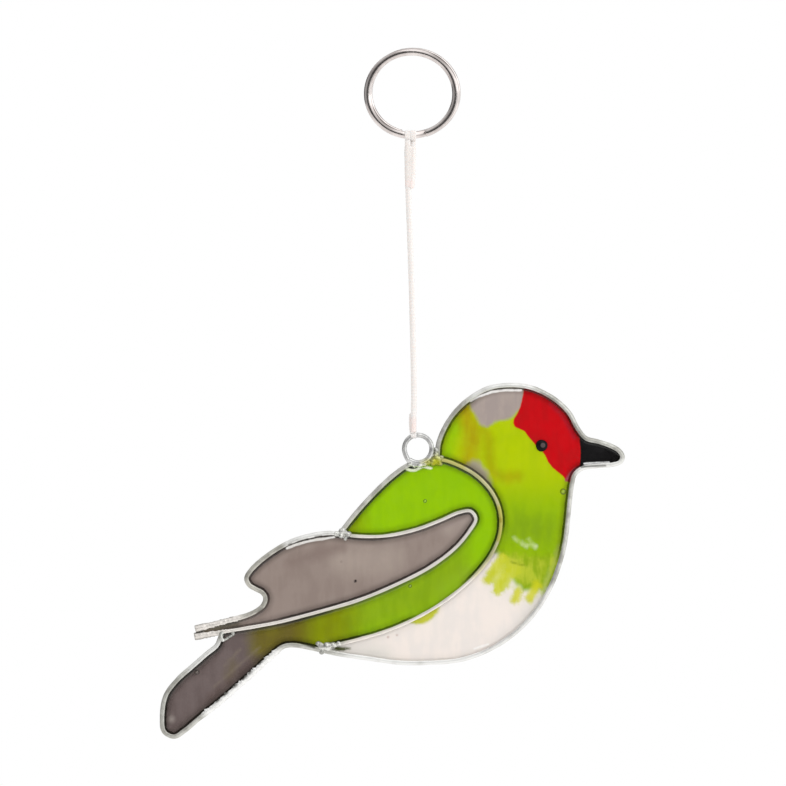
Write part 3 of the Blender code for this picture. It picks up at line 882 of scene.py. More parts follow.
def bendFrameWire(name, wire):
    flat = evenly(smoothLine(routes[wire["route"]]), wireLook["ringSpacing"] * mm)
    line = np.column_stack([flat[:, 0], np.zeros(len(flat)), flat[:, 1]])
    if wire["runOn"]:  # both ends run on into the solder
        aheads = line[0] - line[1], line[-1] - line[-2]
        first, last = (ahead / np.linalg.norm(ahead) * wire["runOn"] * mm for ahead in aheads)
        line = np.vstack([line[0] + first, line, line[-1] + last])
    swell = wireLook["unevenness"] * ripple(line, wireLook["swellSize"], len(name))
    if wire["swollenEnds"]:  # thick with solder towards its cut ends
        reach, growth = wire["swollenEnds"]
        steps = np.arange(len(line)) * wireLook["ringSpacing"] / reach
        near = np.clip(1 - np.minimum(steps, steps[::-1]), 0, 1)
        swell += growth * near * near * (3 - 2 * near)
    sides = wireLook["sides"]
    radius = np.repeat((wireLook["diameter"] / 2 * mm * (1 + swell))[:, None], sides, axis=1)
    for start, end, depth, size in wire["lumps"]:  # a stretch of rough solder skin
        first, last = sorted(nearest(line[:, [0, 2]], np.array(p) * mm) for p in (start, end))
        angle = np.arange(sides) / sides * 2 * math.pi
        for i in range(first, last):
            ring = np.column_stack([np.full(sides, i * wireLook["ringSpacing"] * mm),
                                    0.7 * mm * np.cos(angle), 0.7 * mm * np.sin(angle)])
            ease = min(1.0, (i - first) / wireLook["lumpEase"], (last - i) / wireLook["lumpEase"])
            rough = np.abs(ripple(ring, size * mm, wireLook["lumpSeed"]))
            radius[i] += rough * depth * ease * mm
    points, faces = tubeArrays(line, radius, sides, wire["end"])
    values = {title: np.zeros(len(points)) for title in wireLook["tints"]}
    for title, strokes in wire["stains"].items():
        for stroke, reach, strength in strokes:
            away = distanceToLine(points[:, [0, 2]], np.array(stroke) * mm) / mm
            spread = np.clip(1.5 - away / reach, 0, 1) * strength
            values[title] = np.maximum(values[title], spread)
    # the resin film, tinted dark as painted shade over the wire's flanks
    values["filmAndShade"] = resinFilm(points[:, [0, 2]]) * wireLook["filmAndShade"]
    look = {**wireLook, "dark": wire["tones"][0], "bright": wire["tones"][1]}
    piece = newPiece(name, points, faces, metalFinish(name + "_tin", look), "frame_wire", **values)
    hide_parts(wire["node"])


for name, wire in frameWires.items():
    bendFrameWire(name, wire)
print("frame: three bent wires")


solderLook = {
    "voxel": 0.11, "dark": tone(150, 150, 145), "bright": tone(218, 218, 213), "metallic": 0.7,
    "roughness": (0.2, 0.4), "cloudScale": 700.0, "grainScale": 2400.0,
    "bump": 0.25, "bumpDepth": 0.15 * mm, "tints": {"stain": tone(158, 160, 30)},
}

solderJoints = {
    "solder_at_eye_foot": {
        "node": "eye_foot_solder",
        "balls": [
            ((-0.4, -0.9, -105.3), (0.9, 1.2, 0.8)), ((0.7, -1.1, -105.6), (1.0, 1.3, 0.75)),
            ((1.9, -1.2, -105.7), (1.0, 1.3, 0.7)), ((3.1, -1.1, -105.5), (1.0, 1.3, 0.75)),
            ((4.2, -0.9, -105.0), (0.8, 1.2, 0.8)),
        ],
        "rough": (0.1, 1.1), "stain": ((4.2, -1.0, -105.2), 1.6),
    },
    "solder_at_neck": {
        "node": "neck_solder",
        "balls": [
            ((6.3, 0.0, -104.2), (1.6, 1.4, 1.1)), ((5.4, -0.4, -104.9), (1.2, 1.3, 1.0)),
            ((7.0, -0.1, -105.3), (1.0, 1.2, 0.8)), ((6.0, -0.6, -102.7), (0.8, 1.0, 0.9)),
            ((7.4, 0.0, -103.7), (0.9, 1.1, 0.7)), ((6.05, -0.5, -101.9), (0.75, 0.8, 0.9)),
        ],
        "rough": (0.16, 1.0), "stain": ((6.0, -0.5, -105.2), 2.3),
    },
    "solder_at_back": {
        "node": "back_solder",
        "balls": [
            ((-17.9, 0.0, -122.9), (1.3, 1.25, 1.1)), ((-19.4, 0.0, -123.5), (1.0, 1.1, 0.85)),
            ((-16.6, 0.0, -123.6), (1.0, 1.15, 0.9)), ((-17.3, -0.5, -124.7), (0.5, 0.7, 0.7)),
            ((-18.3, 0.0, -123.9), (1.0, 1.2, 0.8)),
        ],
        "rough": (0.14, 1.0), "stain": None,
    },
    "solder_at_belly": {
        "node": "belly_solder",
        "balls": [
            ((-21.9, 0.0, -152.6), (1.5, 1.3, 1.4)), ((-23.6, 0.0, -152.6), (1.1, 1.2, 1.1)),
            ((-20.2, 0.0, -152.3), (1.1, 1.2, 0.95)), ((-23.3, -0.2, -153.9), (0.7, 0.9, 0.6)),
            ((-24.4, 0.0, -151.9), (0.7, 1.0, 0.7)), ((-19.0, 0.0, -151.9), (0.9, 1.1, 0.7)),
        ],
        "rough": (0.22, 0.85), "stain": None,
    },
    "solder_at_tail": {
        "node": "tail_solder",
        "balls": row(5, (-49.5, 0.0, -149.3), (0.12, -0.42), (0.55, 1.15, 0.5))
        + row(6, (-48.8, 0.0, -151.1), (0.5, 0.32), (0.5, 1.1, 0.45))
        + [((-49.2, 0.0, -149.0), (0.9, 1.1, 0.55)), ((-46.4, 0.0, -149.1), (0.7, 1.0, 0.5))],
        "rough": (0.07, 0.9), "stain": None,
    },
}

meltedTin = metalFinish("melted_tin", solderLook)
for seed, (name, joint) in enumerate(solderJoints.items()):
    lump = meltedShape(name, joint["balls"], solderLook["voxel"], meltedTin, "solder",
                       joint["rough"], seed + 40, joint["stain"])
    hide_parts(joint["node"])
print("solder: five joints")


resinLook = {
    "flat": 0.56,  # half the thickness away from the wires
    "climb": 0.1, "climbReach": 0.45,  # how far the resin climbs at a wire
    "wireEdge": 0.45, "atWire": 0.28,  # where the wire covers it, and half the thickness there
    "grid": 0.55, "borderStep": 0.36,
    "edgeRings": [0.28, 0.45, 0.6, 0.78, 0.98, 1.25, 1.6, 2.0],
    "waves": 0.018, "waveSize": 5.0,
    "blister": 0.14,  # how far the skin stands out over a bubble
    "bubbleRings": (0.0, 0.35, 0.65, 0.85, 1.0, 1.15, 1.4), "bubbleSides": 20,
    "bubbleRoom": 1.9,  # round a bubble, clear of the grid, in its radii
    "cloudScale": 170.0, "grainScale": 900.0, "brushedScale": 520.0,
    "shake": 1.6, "lineShake": 0.34,  # how far the grain moves a zone's edge and a dark line
    "roughness": (0.05, 0.14), "transmission": 0.45, "ior": 1.5, "shine": 0.35,
    # painted shade beside each wire: a dark line and a wider shade
    "lineAt": (0.36, 0.56, 0.88, 1.15),  # where the dark line beside a wire starts, peaks and ends
    "lineTone": tone(8, 9, 4),
    "shadeAt": (2.6, 0.8), "shade": 0.48,  # the wider shade beside a wire
    "faintSoft": 2.0,  # how softly the faint stretches of both begin
    # a bubble's painted pale highlight in its middle and painted dark ring of shade
    "bubbleTone": tone(236, 240, 214), "bubbleMiddle": 0.14, "bubbleRing": 0.75,
    "bump": 0.12, "bumpDepth": 0.4 * mm,
}


def pigment(name, first, second, soft, wobble, strength=1.0, **form):
    # one patch of colour: it drifts between two tones, ends softly, and its edge wanders
    return {"name": name, "tones": (tone(*first), tone(*second)), "soft": soft,
            "wobble": wobble, "strength": strength, **form}


# Colours of the resin from the bottom layer up. An area is a closed outline, a stroke a line with
# a width, dots are small rounds. A faint edge is an area and the share of the painted dark line
# of shade left in it. Gleams are painted highlights, and the edge tone colours the painted shade
# beside the wires. All places are (x, z) and all sizes are in millimetres.
bodyColours = {
    "base": (tone(186, 207, 0), tone(180, 203, 0)),
    "zones": [
        pigment("breast", (151, 189, 5), (157, 193, 7), soft=6, wobble=1,
            area=[(4.57, -112.5), (51.09, -112.5), (51.09, -145.74), (4.57, -145.74)]),
        pigment("chestShade", (136, 172, 20), (146, 182, 14), soft=3.6, wobble=2, width=7,
            stroke=[(26.8, -121.8), (30.2, -123), (33.6, -122.4)]),
        pigment("breastGlow", (166, 198, 16), (168, 194, 40), soft=2, wobble=1, strength=0.7,
            width=3,
            stroke=[
                (41.52, -110.59), (41.27, -116.02), (40.49, -122.48), (38.94, -129.2),
                (36.36, -135.4)]),
        pigment("napeGreen", (156, 200, 4), (162, 202, 4), soft=2, wobble=1, width=3.6,
            stroke=[(8.6, -103), (9.8, -98.4), (12.2, -94.4)]),
        pigment("napeBand", (176, 158, 14), (184, 176, 6), soft=2.4, wobble=1.2, width=3.8,
            stroke=[(13.4, -91.2), (14.4, -94.2), (15.4, -97.6), (15.2, -101.4), (14.6, -105.2)]),
        pigment("cheekBand", (178, 180, 2), (170, 176, 2), soft=1.5, wobble=0.9, width=2.4,
            stroke=[
                (18.53, -96.64), (19.82, -99.22), (19.82, -103.88), (20.59, -107.24),
                (23.44, -108.91), (27.31, -108.66)]),
        pigment("napePatch", (184, 172, 150), (170, 162, 140), soft=1, wobble=0.8, area=[
            (15.6, -104.4), (16.8, -104.6), (17.88, -105.43), (19, -106.98), (19.8, -109.04),
            (20.4, -112.14), (16.98, -110.85), (12.84, -106.98)]),
        pigment("crown", (172, 159, 154), (181, 168, 160), soft=0.65, wobble=0.6, area=[
            (15.94, -87.86), (14.91, -89.92), (15.43, -91.47), (16.46, -93.02), (17.49, -95.09),
            (19.04, -95.99), (20.34, -95.22), (21.89, -94.32), (23.95, -94.06), (25.76, -93.28),
            (27.31, -91.73), (30.41, -88.89), (29.9, -83.2), (20.08, -83.2)]),
        pigment("redFace", (208, 8, 20), (194, 12, 20), soft=0.16, wobble=0.12,
            rim=(0.35, tone(206, 120, 0)),
            area=[
                (28.86, -86.05), (28.6, -87.6), (28.22, -89.41), (27.83, -90.96), (27.05, -92.51),
                (26.28, -93.8), (26.15, -94.83), (26.54, -95.87), (27.83, -96.38), (29.12, -97.03),
                (29.9, -98.19), (30.93, -99.48), (31.96, -100.65), (33, -101.81), (33.77, -102.33),
                (34.55, -103.62), (35.06, -104.91), (36.1, -106.2), (37.65, -107.49),
                (38.94, -108.53), (39.97, -109.82), (41.78, -110.59), (43.59, -106.98),
                (43.59, -98.19), (48.5, -88.89), (38.17, -82.69), (28.86, -82.69)]),
        pigment("throatBlush", (188, 84, 104), (196, 110, 124), soft=0.4, wobble=0.2, width=0.7,
            stroke=[(39.84, -109.56), (40.75, -108.01), (42.04, -106.85), (43.33, -106.33)]),
        pigment("beak", (20, 19, 20), (28, 27, 28), soft=0.2, wobble=0.12, area=[
            (43.41, -95.35), (43.23, -99.22), (43.49, -102.33), (43.28, -105.94), (43.07, -108.01),
            (58.84, -108.01), (58.84, -95.35)]),
        pigment("beakSheen", (56, 55, 57), (46, 45, 47), soft=1, wobble=0.4, strength=0.6,
            width=0.9, stroke=[(44.6, -99.9), (46.6, -100.7), (49, -101.6)]),
        pigment("foreheadHaze", (178, 30, 52), (184, 56, 76), soft=0.8, wobble=0.5, strength=0.65,
            width=0.5,
            stroke=[(35.8, -89.9), (38.1, -92.2), (39.7, -94.6), (40.8, -96.6), (41.8, -98.6)]),
        pigment("milkyBelly", (245, 236, 229), (238, 231, 226), soft=0.9, wobble=0.7, area=[
            (20.85, -127.39), (22.4, -128.55), (23.95, -129.97), (25.25, -132.56), (26.28, -135.4),
            (27.57, -137.47), (29.64, -137.98), (31.96, -137.98), (34.55, -137.47), (36.1, -135.4),
            (38.17, -131.78), (45.92, -130.23), (45.92, -161.24), (-29.02, -161.24),
            (-29.02, -130.23)]),
        pigment("milkShade", (222, 219, 212), (226, 221, 215), soft=3.5, wobble=1.2, width=3,
            strokes=[
                [(-22, -153), (-13, -153.6), (-8, -154.6)],
                [(29.5, -146.5), (33.5, -139.5)]]),
        pigment("freshMottle", (142, 174, 18), (192, 204, 56), soft=1.3, wobble=2.4, area=[
            (21.6, -127.6), (25.76, -128.6), (30.41, -129.4), (36, -129), (38.4, -131.5),
            (36.2, -136.2), (33.2, -138.2), (31, -137.2), (28.6, -138.2), (26.54, -135.8),
            (23.6, -133.6)]),
        pigment("milkGap", (226, 228, 196), (218, 222, 176), soft=0.9, wobble=0.6, strength=0.8,
            width=1, stroke=[(26.2, -137.2), (27.6, -137.3)]),
        pigment("paleStrip", (190, 203, 106), (180, 196, 80), soft=0.9, wobble=0.7, strength=0.7,
            width=0.8, stroke=[(38, -126.6), (36.7, -130.6), (35.4, -134.2), (33.4, -138.8)]),
        pigment("yellowStrokes", (214, 213, 40), (204, 206, 24), soft=0.8, wobble=0.9,
            strength=0.9, width=2.2,
            strokes=[
                [(23.31, -129.8), (21.37, -132.56), (19.3, -135.3)],
                [(24.99, -132.82), (23.18, -135.4), (21.9, -137.8)],
                [(27.3, -138.4), (26.9, -139.4), (26.4, -140.5)],
                [(32.2, -136.8), (31.2, -138.7), (30.3, -140.2)]]),
        pigment("paleField", (216, 219, 88), (202, 209, 50), soft=0.8, wobble=1.3, strength=0.85,
            area=[
                (22.35, -128.9), (24.6, -129.6), (28.1, -131.2), (28.1, -133.8), (25.9, -135.4),
                (25.2, -137), (22.7, -138.9), (20.7, -138.4), (21.7, -136.4), (19.4, -136),
                (18.9, -134.6), (20.4, -131.9)]),
        pigment("paleStreaks", (222, 234, 186), (192, 214, 124), soft=0.7, wobble=0.8,
            strength=0.85, width=0.8,
            strokes=[
                [(26.5, -124.6), (28, -125.8), (29.5, -126.6)],
                [(29.5, -126.6), (30.75, -126), (31.9, -126.8)],
                [(30.2, -124.9), (30.7, -126)]]),
        pigment("oliveScratch", (116, 140, 16), (128, 150, 22), soft=0.4, wobble=0.4,
            strength=0.85, width=0.4, stroke=[(25.4, -130.7), (27.2, -131.2), (28.8, -131.6)]),
        pigment("wingBlot", (204, 207, 62), (196, 202, 44), soft=0.55, wobble=0.5, area=[
            (-1.2, -146.3), (0.96, -146.9), (2.9, -146.6), (4.9, -145.5), (6.5, -144),
            (7, -142.4), (5.61, -140.57), (1.47, -142.12)]),
        pigment("rootWedge", (66, 72, 34), (88, 94, 52), soft=0.4, wobble=0.5, area=[
            (-20.4, -152.2), (-18.42, -152.6), (-16, -153.1), (-18.17, -153.75),
            (-20.4, -153.45)]),
        pigment("brownDots", (176, 150, 140), (200, 180, 170), soft=0.35, wobble=0.1, width=0.5,
            dots=[(-6.28, -150.13), (-3.95, -149.61)]),
    ],
    "gleams": [
        pigment("crownGleam", (236, 232, 228), (248, 246, 244), soft=0.2, wobble=0.2, width=0.6,
            stroke=[(15, -89.05), (17.3, -87.9), (20.5, -86.8), (24.2, -86.35), (28.1, -86.4)]),
        pigment("bellyGleam", (252, 250, 248), (246, 244, 240), soft=0.2, wobble=0.15, width=0.5,
            stroke=[(15.94, -153.1), (17.75, -152.58), (19.56, -151.94)]),
        pigment("beakGleam", (252, 252, 252), (246, 246, 246), soft=0.2, wobble=0.15, width=0.42,
            stroke=[(44.4, -105.35), (46.4, -105.2), (48.5, -105.1), (50.8, -105)]),
    ],
    "faintEdges": [
        ([(-31, -138), (10, -136), (20.5, -128.5), (27, -133), (36, -129.5),
          (48.5, -125), (58.84, -166.41), (-31, -166.41)], 0.14),
        ([(19.5, -122), (27, -122), (27, -129), (19.5, -129)], 0.35),
    ],
    "bubbles": [(38.94, -112.53, 0.66)],
    "edgeShadeTone": tone(92, 88, 60),
    "lineDepth": 0.78,
}

wingColours = {
    "base": (tone(149, 198, 4), tone(155, 203, 2)),
    "zones": [
        pigment("warmGreen", (150, 200, 2), (154, 202, 4), soft=4, wobble=1,
            area=[(11.03, -109.56), (20.08, -117.31), (20.08, -130.23), (14.91, -135.4)]),
        pigment("deepGreen", (137, 173, 18), (147, 181, 22), soft=4, wobble=1.4, area=[
            (-18.68, -137.98), (-3.18, -134.88), (7.16, -130.23), (13.62, -126.36),
            (14.91, -135.4), (4.57, -143.15), (-8.35, -148.32), (-21.27, -150.9)]),
        pigment("paleDrift", (152, 182, 42), (146, 186, 30), soft=3, wobble=1, strength=0.7,
            width=5, stroke=[(8.71, -138.5), (11.81, -136.43), (14.91, -134.37)]),
        pigment("rumpGreen", (131, 142, 8), (138, 150, 6), soft=5.5, wobble=1.2,
            area=[(-14, -120), (-16, -160), (-90, -200), (-90, -120)]),
        pigment("oliveRump", (118, 111, 30), (111, 100, 37), soft=3.4, wobble=1.2,
            area=[(-26, -120), (-27.5, -160), (-90, -200), (-90, -120)]),
        pigment("brownRump", (106, 95, 42), (112, 101, 46), soft=1.8, wobble=1, strength=0.8,
            width=3.4, stroke=[(-32.6, -145.2), (-32.4, -149), (-33.5, -153)]),
        pigment("greyTail", (110, 97, 95), (119, 106, 104), soft=3, wobble=1.2, area=[
            (-42.4, -120), (-42, -150), (-41.2, -154), (-38.6, -158), (-34, -162),
            (-36, -180), (-90, -200), (-90, -120)]),
        pigment("oliveStreak", (126, 116, 44), (116, 106, 50), soft=2, wobble=0.9, strength=0.6,
            width=2.2, stroke=[(-36.6, -149.1), (-38.6, -151.6), (-39.6, -152.8)]),
        pigment("oliveSmudge", (118, 107, 66), (112, 101, 64), soft=2, wobble=1, strength=0.55,
            width=1.4, stroke=[(-46.4, -157), (-47.4, -160.2)]),
        pigment("tailLowShade", (92, 76, 71), (98, 82, 76), soft=1.4, wobble=0.8, strength=0.6,
            width=1.6, stroke=[(-52, -165.9), (-45.9, -160.6), (-40.3, -155.6)]),
        pigment("tailPaleStreak", (144, 131, 116), (136, 124, 112), soft=0.55, wobble=0.5,
            strength=0.5, width=0.3,
            strokes=[
                [(-51.5, -163.2), (-46.5, -158.9), (-42, -155), (-39.4, -152.7)],
                [(-48.6, -157.6), (-44.4, -153.2)]]),
        pigment("tailDusk", (90, 77, 73), (96, 84, 79), soft=1.5, wobble=0.8, strength=0.35,
            width=1.4,
            strokes=[
                [(-61.5, -173.5), (-36.5, -153.6)],
                [(-63, -171), (-61.5, -164), (-53, -156.5)]]),
        pigment("tailSpot", (170, 160, 154), (176, 168, 160), soft=1, wobble=0.3, strength=0.75,
            width=1.3, dots=[(-62.22, -171.32)]),
        pigment("footShadow", (20, 24, 4), (40, 44, 14), soft=0.2, wobble=0.2, width=0.8,
            stroke=[(-0.59, -106.15), (0.7, -106.61), (2.12, -106.15)]),
    ],
    "gleams": [
        pigment("footGleam", (240, 248, 214), (252, 255, 242), soft=0.2, wobble=0.22, width=0.66,
            stroke=[
                (-2.2, -106.1), (-1.4, -106.7), (-0.3, -107.05), (0.8, -107.05), (1.8, -106.5),
                (2.7, -106.05), (3.7, -106.25), (4.9, -106.55)]),
    ],
    "faintEdges": [
        ([(12.2, -132.6), (16.4, -139.4), (1.5, -148.6), (-2.7, -141.8)], 0.22),
        ([(-22, -141), (-4, -134), (10.5, -124.5), (14, -119.5), (19.5, -121.5),
          (14.5, -129), (0, -138.5), (-21, -146)], 0.53),
        ([(-17.5, -126), (0, -124.5), (13, -119.5), (14.5, -114.5), (-1, -119.5),
          (-17.5, -121.5)], 0.7),
        ([(-3.5, -143.5), (0.5, -149.5), (-12, -153), (-13, -147)], 0.72),
        ([(-47, -151.5), (-33, -149), (-31, -143.5), (-47, -146)], 0.7),
    ],
    "bubbles": [(3.28, -114.99, 0.4), (-0.59, -136.95, 0.38), (-55.63, -159.17, 0.55)],
    "edgeShadeTone": tone(66, 66, 30),
    "lineDepth": 0.9,
}

featherColours = {
    "base": (tone(151, 136, 128), tone(158, 143, 135)),
    "zones": [
        pigment("featherLight", (168, 154, 145), (174, 160, 150), soft=3.5, wobble=1.2, width=7,
            stroke=[(-17.5, -130.5), (-12.22, -130.6), (-6, -129.6)]),
        pigment("featherDusk", (142, 125, 118), (137, 120, 113), soft=2, wobble=1,
            strength=0.8, width=2.2, stroke=[(-31.6, -130.9), (-25, -128.8), (-18.4, -126.8)]),
        pigment("featherTip", (174, 160, 152), (168, 154, 146), soft=3, wobble=1, width=2.5,
            stroke=[(9.22, -122.48), (12.84, -120.41), (15.43, -118.86)]),
        pigment("pointShade", (92, 88, 68), (98, 92, 76), soft=2, wobble=0.6, width=2.2,
            stroke=[(-60, -149.6), (-50.98, -147.9), (-46.2, -146.4)]),
        pigment("featherDot", (38, 28, 32), (48, 34, 38), soft=0.2, wobble=0.1, width=0.8,
            dots=[(-14.68, -135.66)]),
        pigment("featherSpeck", (132, 120, 114), (126, 114, 110), soft=0.4, wobble=0.1, width=0.4,
            dots=[(-18.29, -130.62)]),
    ],
    "gleams": [
        pigment("featherGleam", (226, 222, 216), (238, 236, 232), soft=0.16, wobble=0.2,
            width=0.62,
            stroke=[
                (-32.4, -127.2), (-30.31, -126.35), (-27.73, -125.6), (-25.14, -125),
                (-22.56, -124.7), (-20.23, -124.3)]),
    ],
    "faintEdges": [
        ([(-62, -153), (-48.5, -153), (-47, -143), (-62, -143)], 0.14),
        ([(-47.5, -151), (-33, -149), (-35.5, -139.5), (-47.5, -144.5)], 0.65),
        ([(-6, -126.5), (10.5, -122.5), (10.5, -116), (-6, -120.5)], 0.65),
    ],
    "bubbles": [],
    "edgeShadeTone": tone(66, 56, 58),
    "lineDepth": 0.82,
}


def zoneReach(points, zone):
    # distance to a zone's edge in millimetres, below zero inside it
    if "area" in zone:
        outline = np.array(zone["area"]) * mm
        reach = distanceToLine(points, outline, closed=True)
        reach[insideOutline(points, outline)] *= -1
        return reach / mm
    if "dots" in zone:
        centres = np.array(zone["dots"]) * mm
        gaps = [np.linalg.norm(points - centre, axis=1) for centre in centres]
    else:
        gaps = [distanceToLine(points, np.array(line) * mm)
                for line in zone.get("strokes", [zone.get("stroke")])]
    return np.min(gaps, axis=0) / mm - zone["width"] / 2


def resinPlan(outline, bubbles):
    # a flat mesh of the pane: rings of points beside the wires, a grid inside, both joined up
    outline = evenly(outline, resinLook["borderStep"] * mm, closed=True)
    ahead = np.roll(outline, -1, axis=0) - np.roll(outline, 1, axis=0)
    ahead /= np.linalg.norm(ahead, axis=1)[:, None]
    inward = np.column_stack([-ahead[:, 1], ahead[:, 0]])
    probe = outline + inward * 0.05 * mm
    if insideOutline(probe, outline).mean() < 0.5:  # the outline runs the other way round
        inward = -inward
    rings = []
    for count, reach in enumerate(resinLook["edgeRings"]):
        ring = outline + inward * reach * mm
        if count % 2:  # every other ring's points stand between those of the last
            ring = (ring + np.roll(ring, -1, axis=0)) / 2
        gap = distanceToLine(ring, outline, closed=True)
        rings.append(ring[(gap > reach * mm * 0.93) & insideOutline(ring, outline)])
    step = resinLook["grid"] * mm
    low, high = outline.min(0), outline.max(0)
    xs = np.arange(low[0], high[0], step)
    zs = np.arange(low[1], high[1], step * 0.866)
    grid = np.array([(x + (row % 2) * step / 2, z) for row, z in enumerate(zs) for x in xs])
    grid = grid[insideOutline(grid, outline)]
    keep = distanceToLine(grid, outline, closed=True) > (resinLook["edgeRings"][-1] + 0.25) * mm
    grid = grid[keep]
    for x, z, size in bubbles:
        centre = np.array((x, z)) * mm
        room = resinLook["bubbleRoom"] * size * mm
        grid = grid[np.linalg.norm(grid - centre, axis=1) > room]
        turns = np.linspace(0, 2 * math.pi, resinLook["bubbleSides"], endpoint=False)
        for share in resinLook["bubbleRings"]:
            round_ = turns[:1] if share == 0 else turns
            spot = np.column_stack([np.cos(round_), np.sin(round_)]) * share * size * mm
            rings.append(centre + spot)
    points = np.vstack([outline, *rings, grid])
    edges = [(i, (i + 1) % len(outline)) for i in range(len(outline))]
    flat = [Vector(p) for p in points * 1000.0]  # joined up in millimetres
    made = geometry.delaunay_2d_cdt(flat, edges, [], 1, 1e-5)
    return np.array([tuple(v) for v in made[0]]) / 1000.0, [tuple(f) for f in made[2]]


def resinFinish(name, look):
    finish, tree, surface = newFinish(name)
    cloud = noiseField(tree, resinLook["cloudScale"])
    grain = noiseField(tree, resinLook["grainScale"])
    brushed = noiseField(tree, resinLook["brushedScale"], stretch=(1.0, 1.0, 0.22))
    stirred = calc(tree, "MULTIPLY_ADD", brushed, 0.5, times(tree, cloud, 0.5))
    mottle = fade(tree, stirred, 0.4, 0.6)

    def layer(colour, zone):
        far = zone["wobble"] * resinLook["shake"]
        shake, drift = (times(tree, calc(tree, "SUBTRACT", noise, 0.5), far)
                        for noise in (grain, brushed))
        reach = calc(tree, "ADD", pointValue(tree, zone["name"]), calc(tree, "ADD", shake, drift))
        if "rim" in zone:
            width, rimTone = zone["rim"]
            share = fade(tree, reach, width, -width, 0.0, 0.8)
            colour = mixTones(tree, share, colour, rimTone)
        share = fade(tree, reach, zone["soft"], -zone["soft"], 0.0, zone["strength"])
        return mixTones(tree, share, colour, mixTones(tree, mottle, *zone["tones"]))

    colour = mixTones(tree, mottle, *look["base"])
    for zone in look["zones"]:
        colour = layer(colour, zone)

    # painted shade: a dark line where the resin meets a wire, and a wider shade beside it
    shake = times(tree, calc(tree, "SUBTRACT", grain, 0.5), resinLook["lineShake"])
    edge = calc(tree, "ADD", pointValue(tree, "edgeReach"), shake)
    start, full, late, end = resinLook["lineAt"]
    line = times(tree, fade(tree, edge, start, full), fade(tree, edge, end, late))
    faint = pointValue(tree, "faintEdge")
    uneven = fade(tree, cloud, 0.25, 0.6, 0.85 * look["lineDepth"], look["lineDepth"])
    line = times(tree, times(tree, line, faint), uneven)
    shadedTone = mixTones(tree, 1.0, colour, look["edgeShadeTone"], "MULTIPLY")
    shade = fade(tree, edge, *resinLook["shadeAt"], 0.0, resinLook["shade"])
    colour = mixTones(tree, times(tree, shade, faint), colour, shadedTone)
    colour = mixTones(tree, line, colour, mixTones(tree, 0.6, shadedTone, resinLook["lineTone"]))
    # painted highlights: pale gleams laid over the dark line
    for zone in look["gleams"]:
        colour = layer(colour, zone)

    # painted shade and highlight: a bubble shows as a thin dark ring with a pale middle
    bubble = pointValue(tree, "bubble")
    ringShare = times(tree, fade(tree, bubble, 0.5, 0.85), fade(tree, bubble, 1.4, 1.05))
    colour = mixTones(tree, times(tree, ringShare, resinLook["bubbleRing"]), colour, shadedTone)
    middle = fade(tree, bubble, 0.55, 0.1, 0.0, resinLook["bubbleMiddle"])
    dress(tree, surface, {
        "Base Color": mixTones(tree, middle, colour, resinLook["bubbleTone"]),
        "Roughness": fade(tree, grain, 0.3, 0.7, *resinLook["roughness"]),
        "Transmission Weight": resinLook["transmission"],
        "IOR": resinLook["ior"],
        "Specular IOR Level": resinLook["shine"],
    })
    uneven = calc(tree, "ADD", cloud, times(tree, grain, 0.2))
    addBump(tree, surface, uneven, resinLook)
    return finish


def pourResin(name, loop, look, node, slotName):
    plan, triangles = resinPlan(loop, look["bubbles"])
    border = evenly(loop, resinLook["borderStep"] * mm, closed=True)
    edge = distanceToLine(plan, border, closed=True) / mm
    beyond = np.clip(edge - resinLook["wireEdge"], 0, None)
    height = resinLook["flat"] + resinLook["climb"] * np.exp(-beyond / resinLook["climbReach"])
    rise = np.clip(edge / resinLook["wireEdge"], 0, 1)
    height = resinLook["atWire"] + (height - resinLook["atWire"]) * rise ** 0.6
    noBubble = 9.0  # further than any bubble reaches, in its own radii
    bubble = np.full(len(plan), noBubble)
    for x, z, size in look["bubbles"]:
        away = np.linalg.norm(plan - np.array((x, z)) * mm, axis=1) / mm / size
        bubble = np.minimum(bubble, away)
    blister = resinLook["blister"] * np.clip(1 - bubble ** 2, 0, 1)
    sides = []
    for sign, seed in ((-1, 71), (1, 72)):
        waves = resinLook["waves"] * ripple(plan, resinLook["waveSize"] * mm, seed) * rise
        depth = sign * (height + waves + (blister if sign < 0 else 0)) * mm
        sides.append(np.column_stack([plan[:, 0], depth, plan[:, 1]]))
    count = len(plan)
    uses = {}  # an edge that only one face uses is on the rim
    for triangle in triangles:
        for a, b in zip(triangle, triangle[1:] + triangle[:1]):
            uses.setdefault(frozenset((a, b)), []).append((a, b))
    rim = [pair[0] for pair in uses.values() if len(pair) == 1]
    faces = list(triangles)
    faces += [tuple(i + count for i in triangle)[::-1] for triangle in triangles]
    faces += [(b, a, a + count, b + count) for a, b in rim]
    values = {zone["name"]: zoneReach(plan, zone) for zone in look["zones"] + look["gleams"]}
    values["edgeReach"] = edge
    values["bubble"] = bubble
    faint = np.ones(count)
    for area, level in look["faintEdges"]:
        soft = resinLook["faintSoft"]
        inside = np.clip((soft - zoneReach(plan, {"area": area})) / (2 * soft), 0, 1)
        faint *= 1 - (1 - level) * inside
    values["faintEdge"] = faint
    values = {title: np.concatenate([numbers, numbers]) for title, numbers in values.items()}
    values["bubble"][count:] = noBubble
    piece = newPiece(name, np.vstack(sides), faces, resinFinish(slotName + "_pour", look),
                     slotName, **values)
    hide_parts(node)
    print(f"resin: {name}, {len(faces)} faces")


pourResin("poured_body_resin", loops["body"], bodyColours, "body_pane", "body_resin")
pourResin("poured_wing_resin", loops["wingTail"], wingColours, "wing_tail_pane", "wing_resin")
pourResin("poured_feather_resin", loops["feather"], featherColours, "feather_pane",
          "feather_resin")


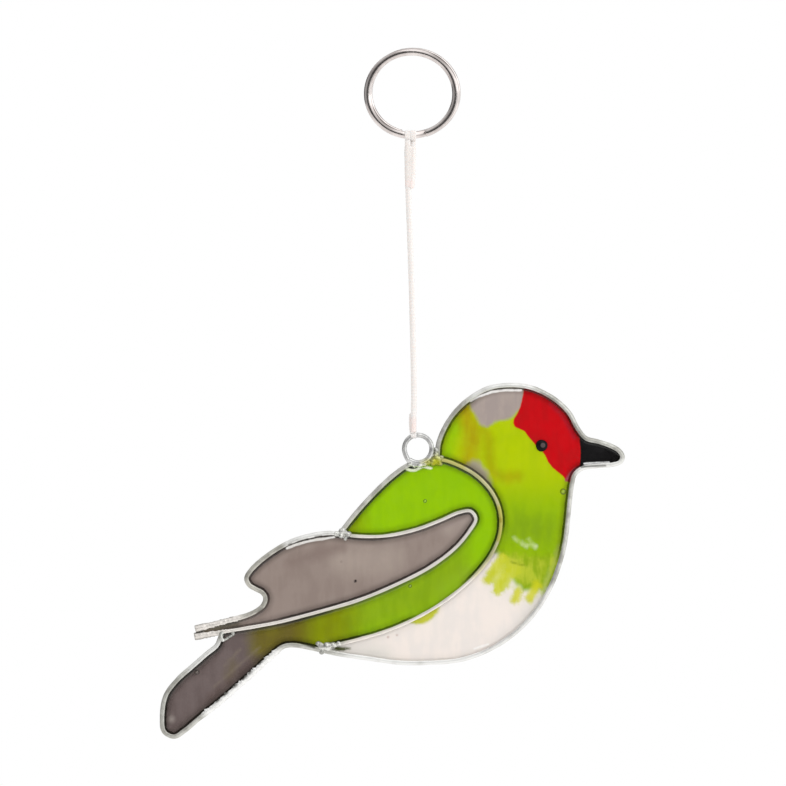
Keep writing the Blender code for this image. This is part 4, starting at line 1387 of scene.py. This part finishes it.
dropLook = {
    "place": (33.4, -100.65),
    "radius": 1.55,
    "foot": 0.5,  # how far in front of the middle plane the drop starts
    "height": 1.02,
    "tones": (tone(8, 8, 10), tone(18, 16, 19)),
    "dullAt": (0.3, 0.08),  # a painted grey highlight on top, off the middle by this much
    "dullSize": 0.62,
    "dullTone": tone(80, 70, 71),
    "roughness": (0.08, 0.2), "cloudScale": 1200.0, "shine": 0.1,
    "bump": 0.1, "bumpDepth": 0.1 * mm,
    "segments": 40, "rings": 12,
    "fullness": 0.85,  # less makes its sides steeper
    "outOfRound": 0.02,
}


def dropFinish():
    finish, tree, surface = newFinish("black_glaze")
    cloud = noiseField(tree, dropLook["cloudScale"])
    colour = mixTones(tree, fade(tree, cloud, 0.3, 0.7), *dropLook["tones"])
    # painted highlight: a grey patch on top of the black drop
    dull = fade(tree, pointValue(tree, "dull"), 1.15, 0.85, 0.0, 0.9)
    dress(tree, surface, {
        "Base Color": mixTones(tree, dull, colour, dropLook["dullTone"]),
        "Roughness": fade(tree, cloud, 0.3, 0.7, *dropLook["roughness"]),
        "Specular IOR Level": dropLook["shine"],
    })
    addBump(tree, surface, cloud, dropLook)
    return finish


def placeEyeDrop():
    x, z = dropLook["place"]
    segments, rings = dropLook["segments"], dropLook["rings"]
    points, dull = [], []
    dullX, dullZ = dropLook["dullAt"]
    for i in range(rings + 1):
        share = i / rings
        reach = dropLook["radius"] * math.cos(share * math.pi / 2) ** dropLook["fullness"]
        rise = dropLook["foot"] + dropLook["height"] * math.sin(share * math.pi / 2)
        for k in range(segments if i < rings else 1):
            a = 2 * math.pi * k / segments
            wide = reach * (1 + dropLook["outOfRound"] * math.sin(3 * a + 0.7))
            right, up = wide * math.cos(a), wide * math.sin(a)
            points.append(((x + right) * mm, -rise * mm, (z + up) * mm))
            away = math.hypot(right - dullX, up - dullZ)
            dull.append(away / dropLook["dullSize"])
    faces = ringFaces(rings, segments)
    last = (rings - 1) * segments
    faces += [(last + k, last + (k + 1) % segments, rings * segments) for k in range(segments)]
    faces.append(tuple(range(segments))[::-1])
    drop = newPiece("raised_eye_drop", points, faces, dropFinish(), "black_drop", dull=dull)
    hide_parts("eye_drop")


placeEyeDrop()
print("eye: one raised black drop")
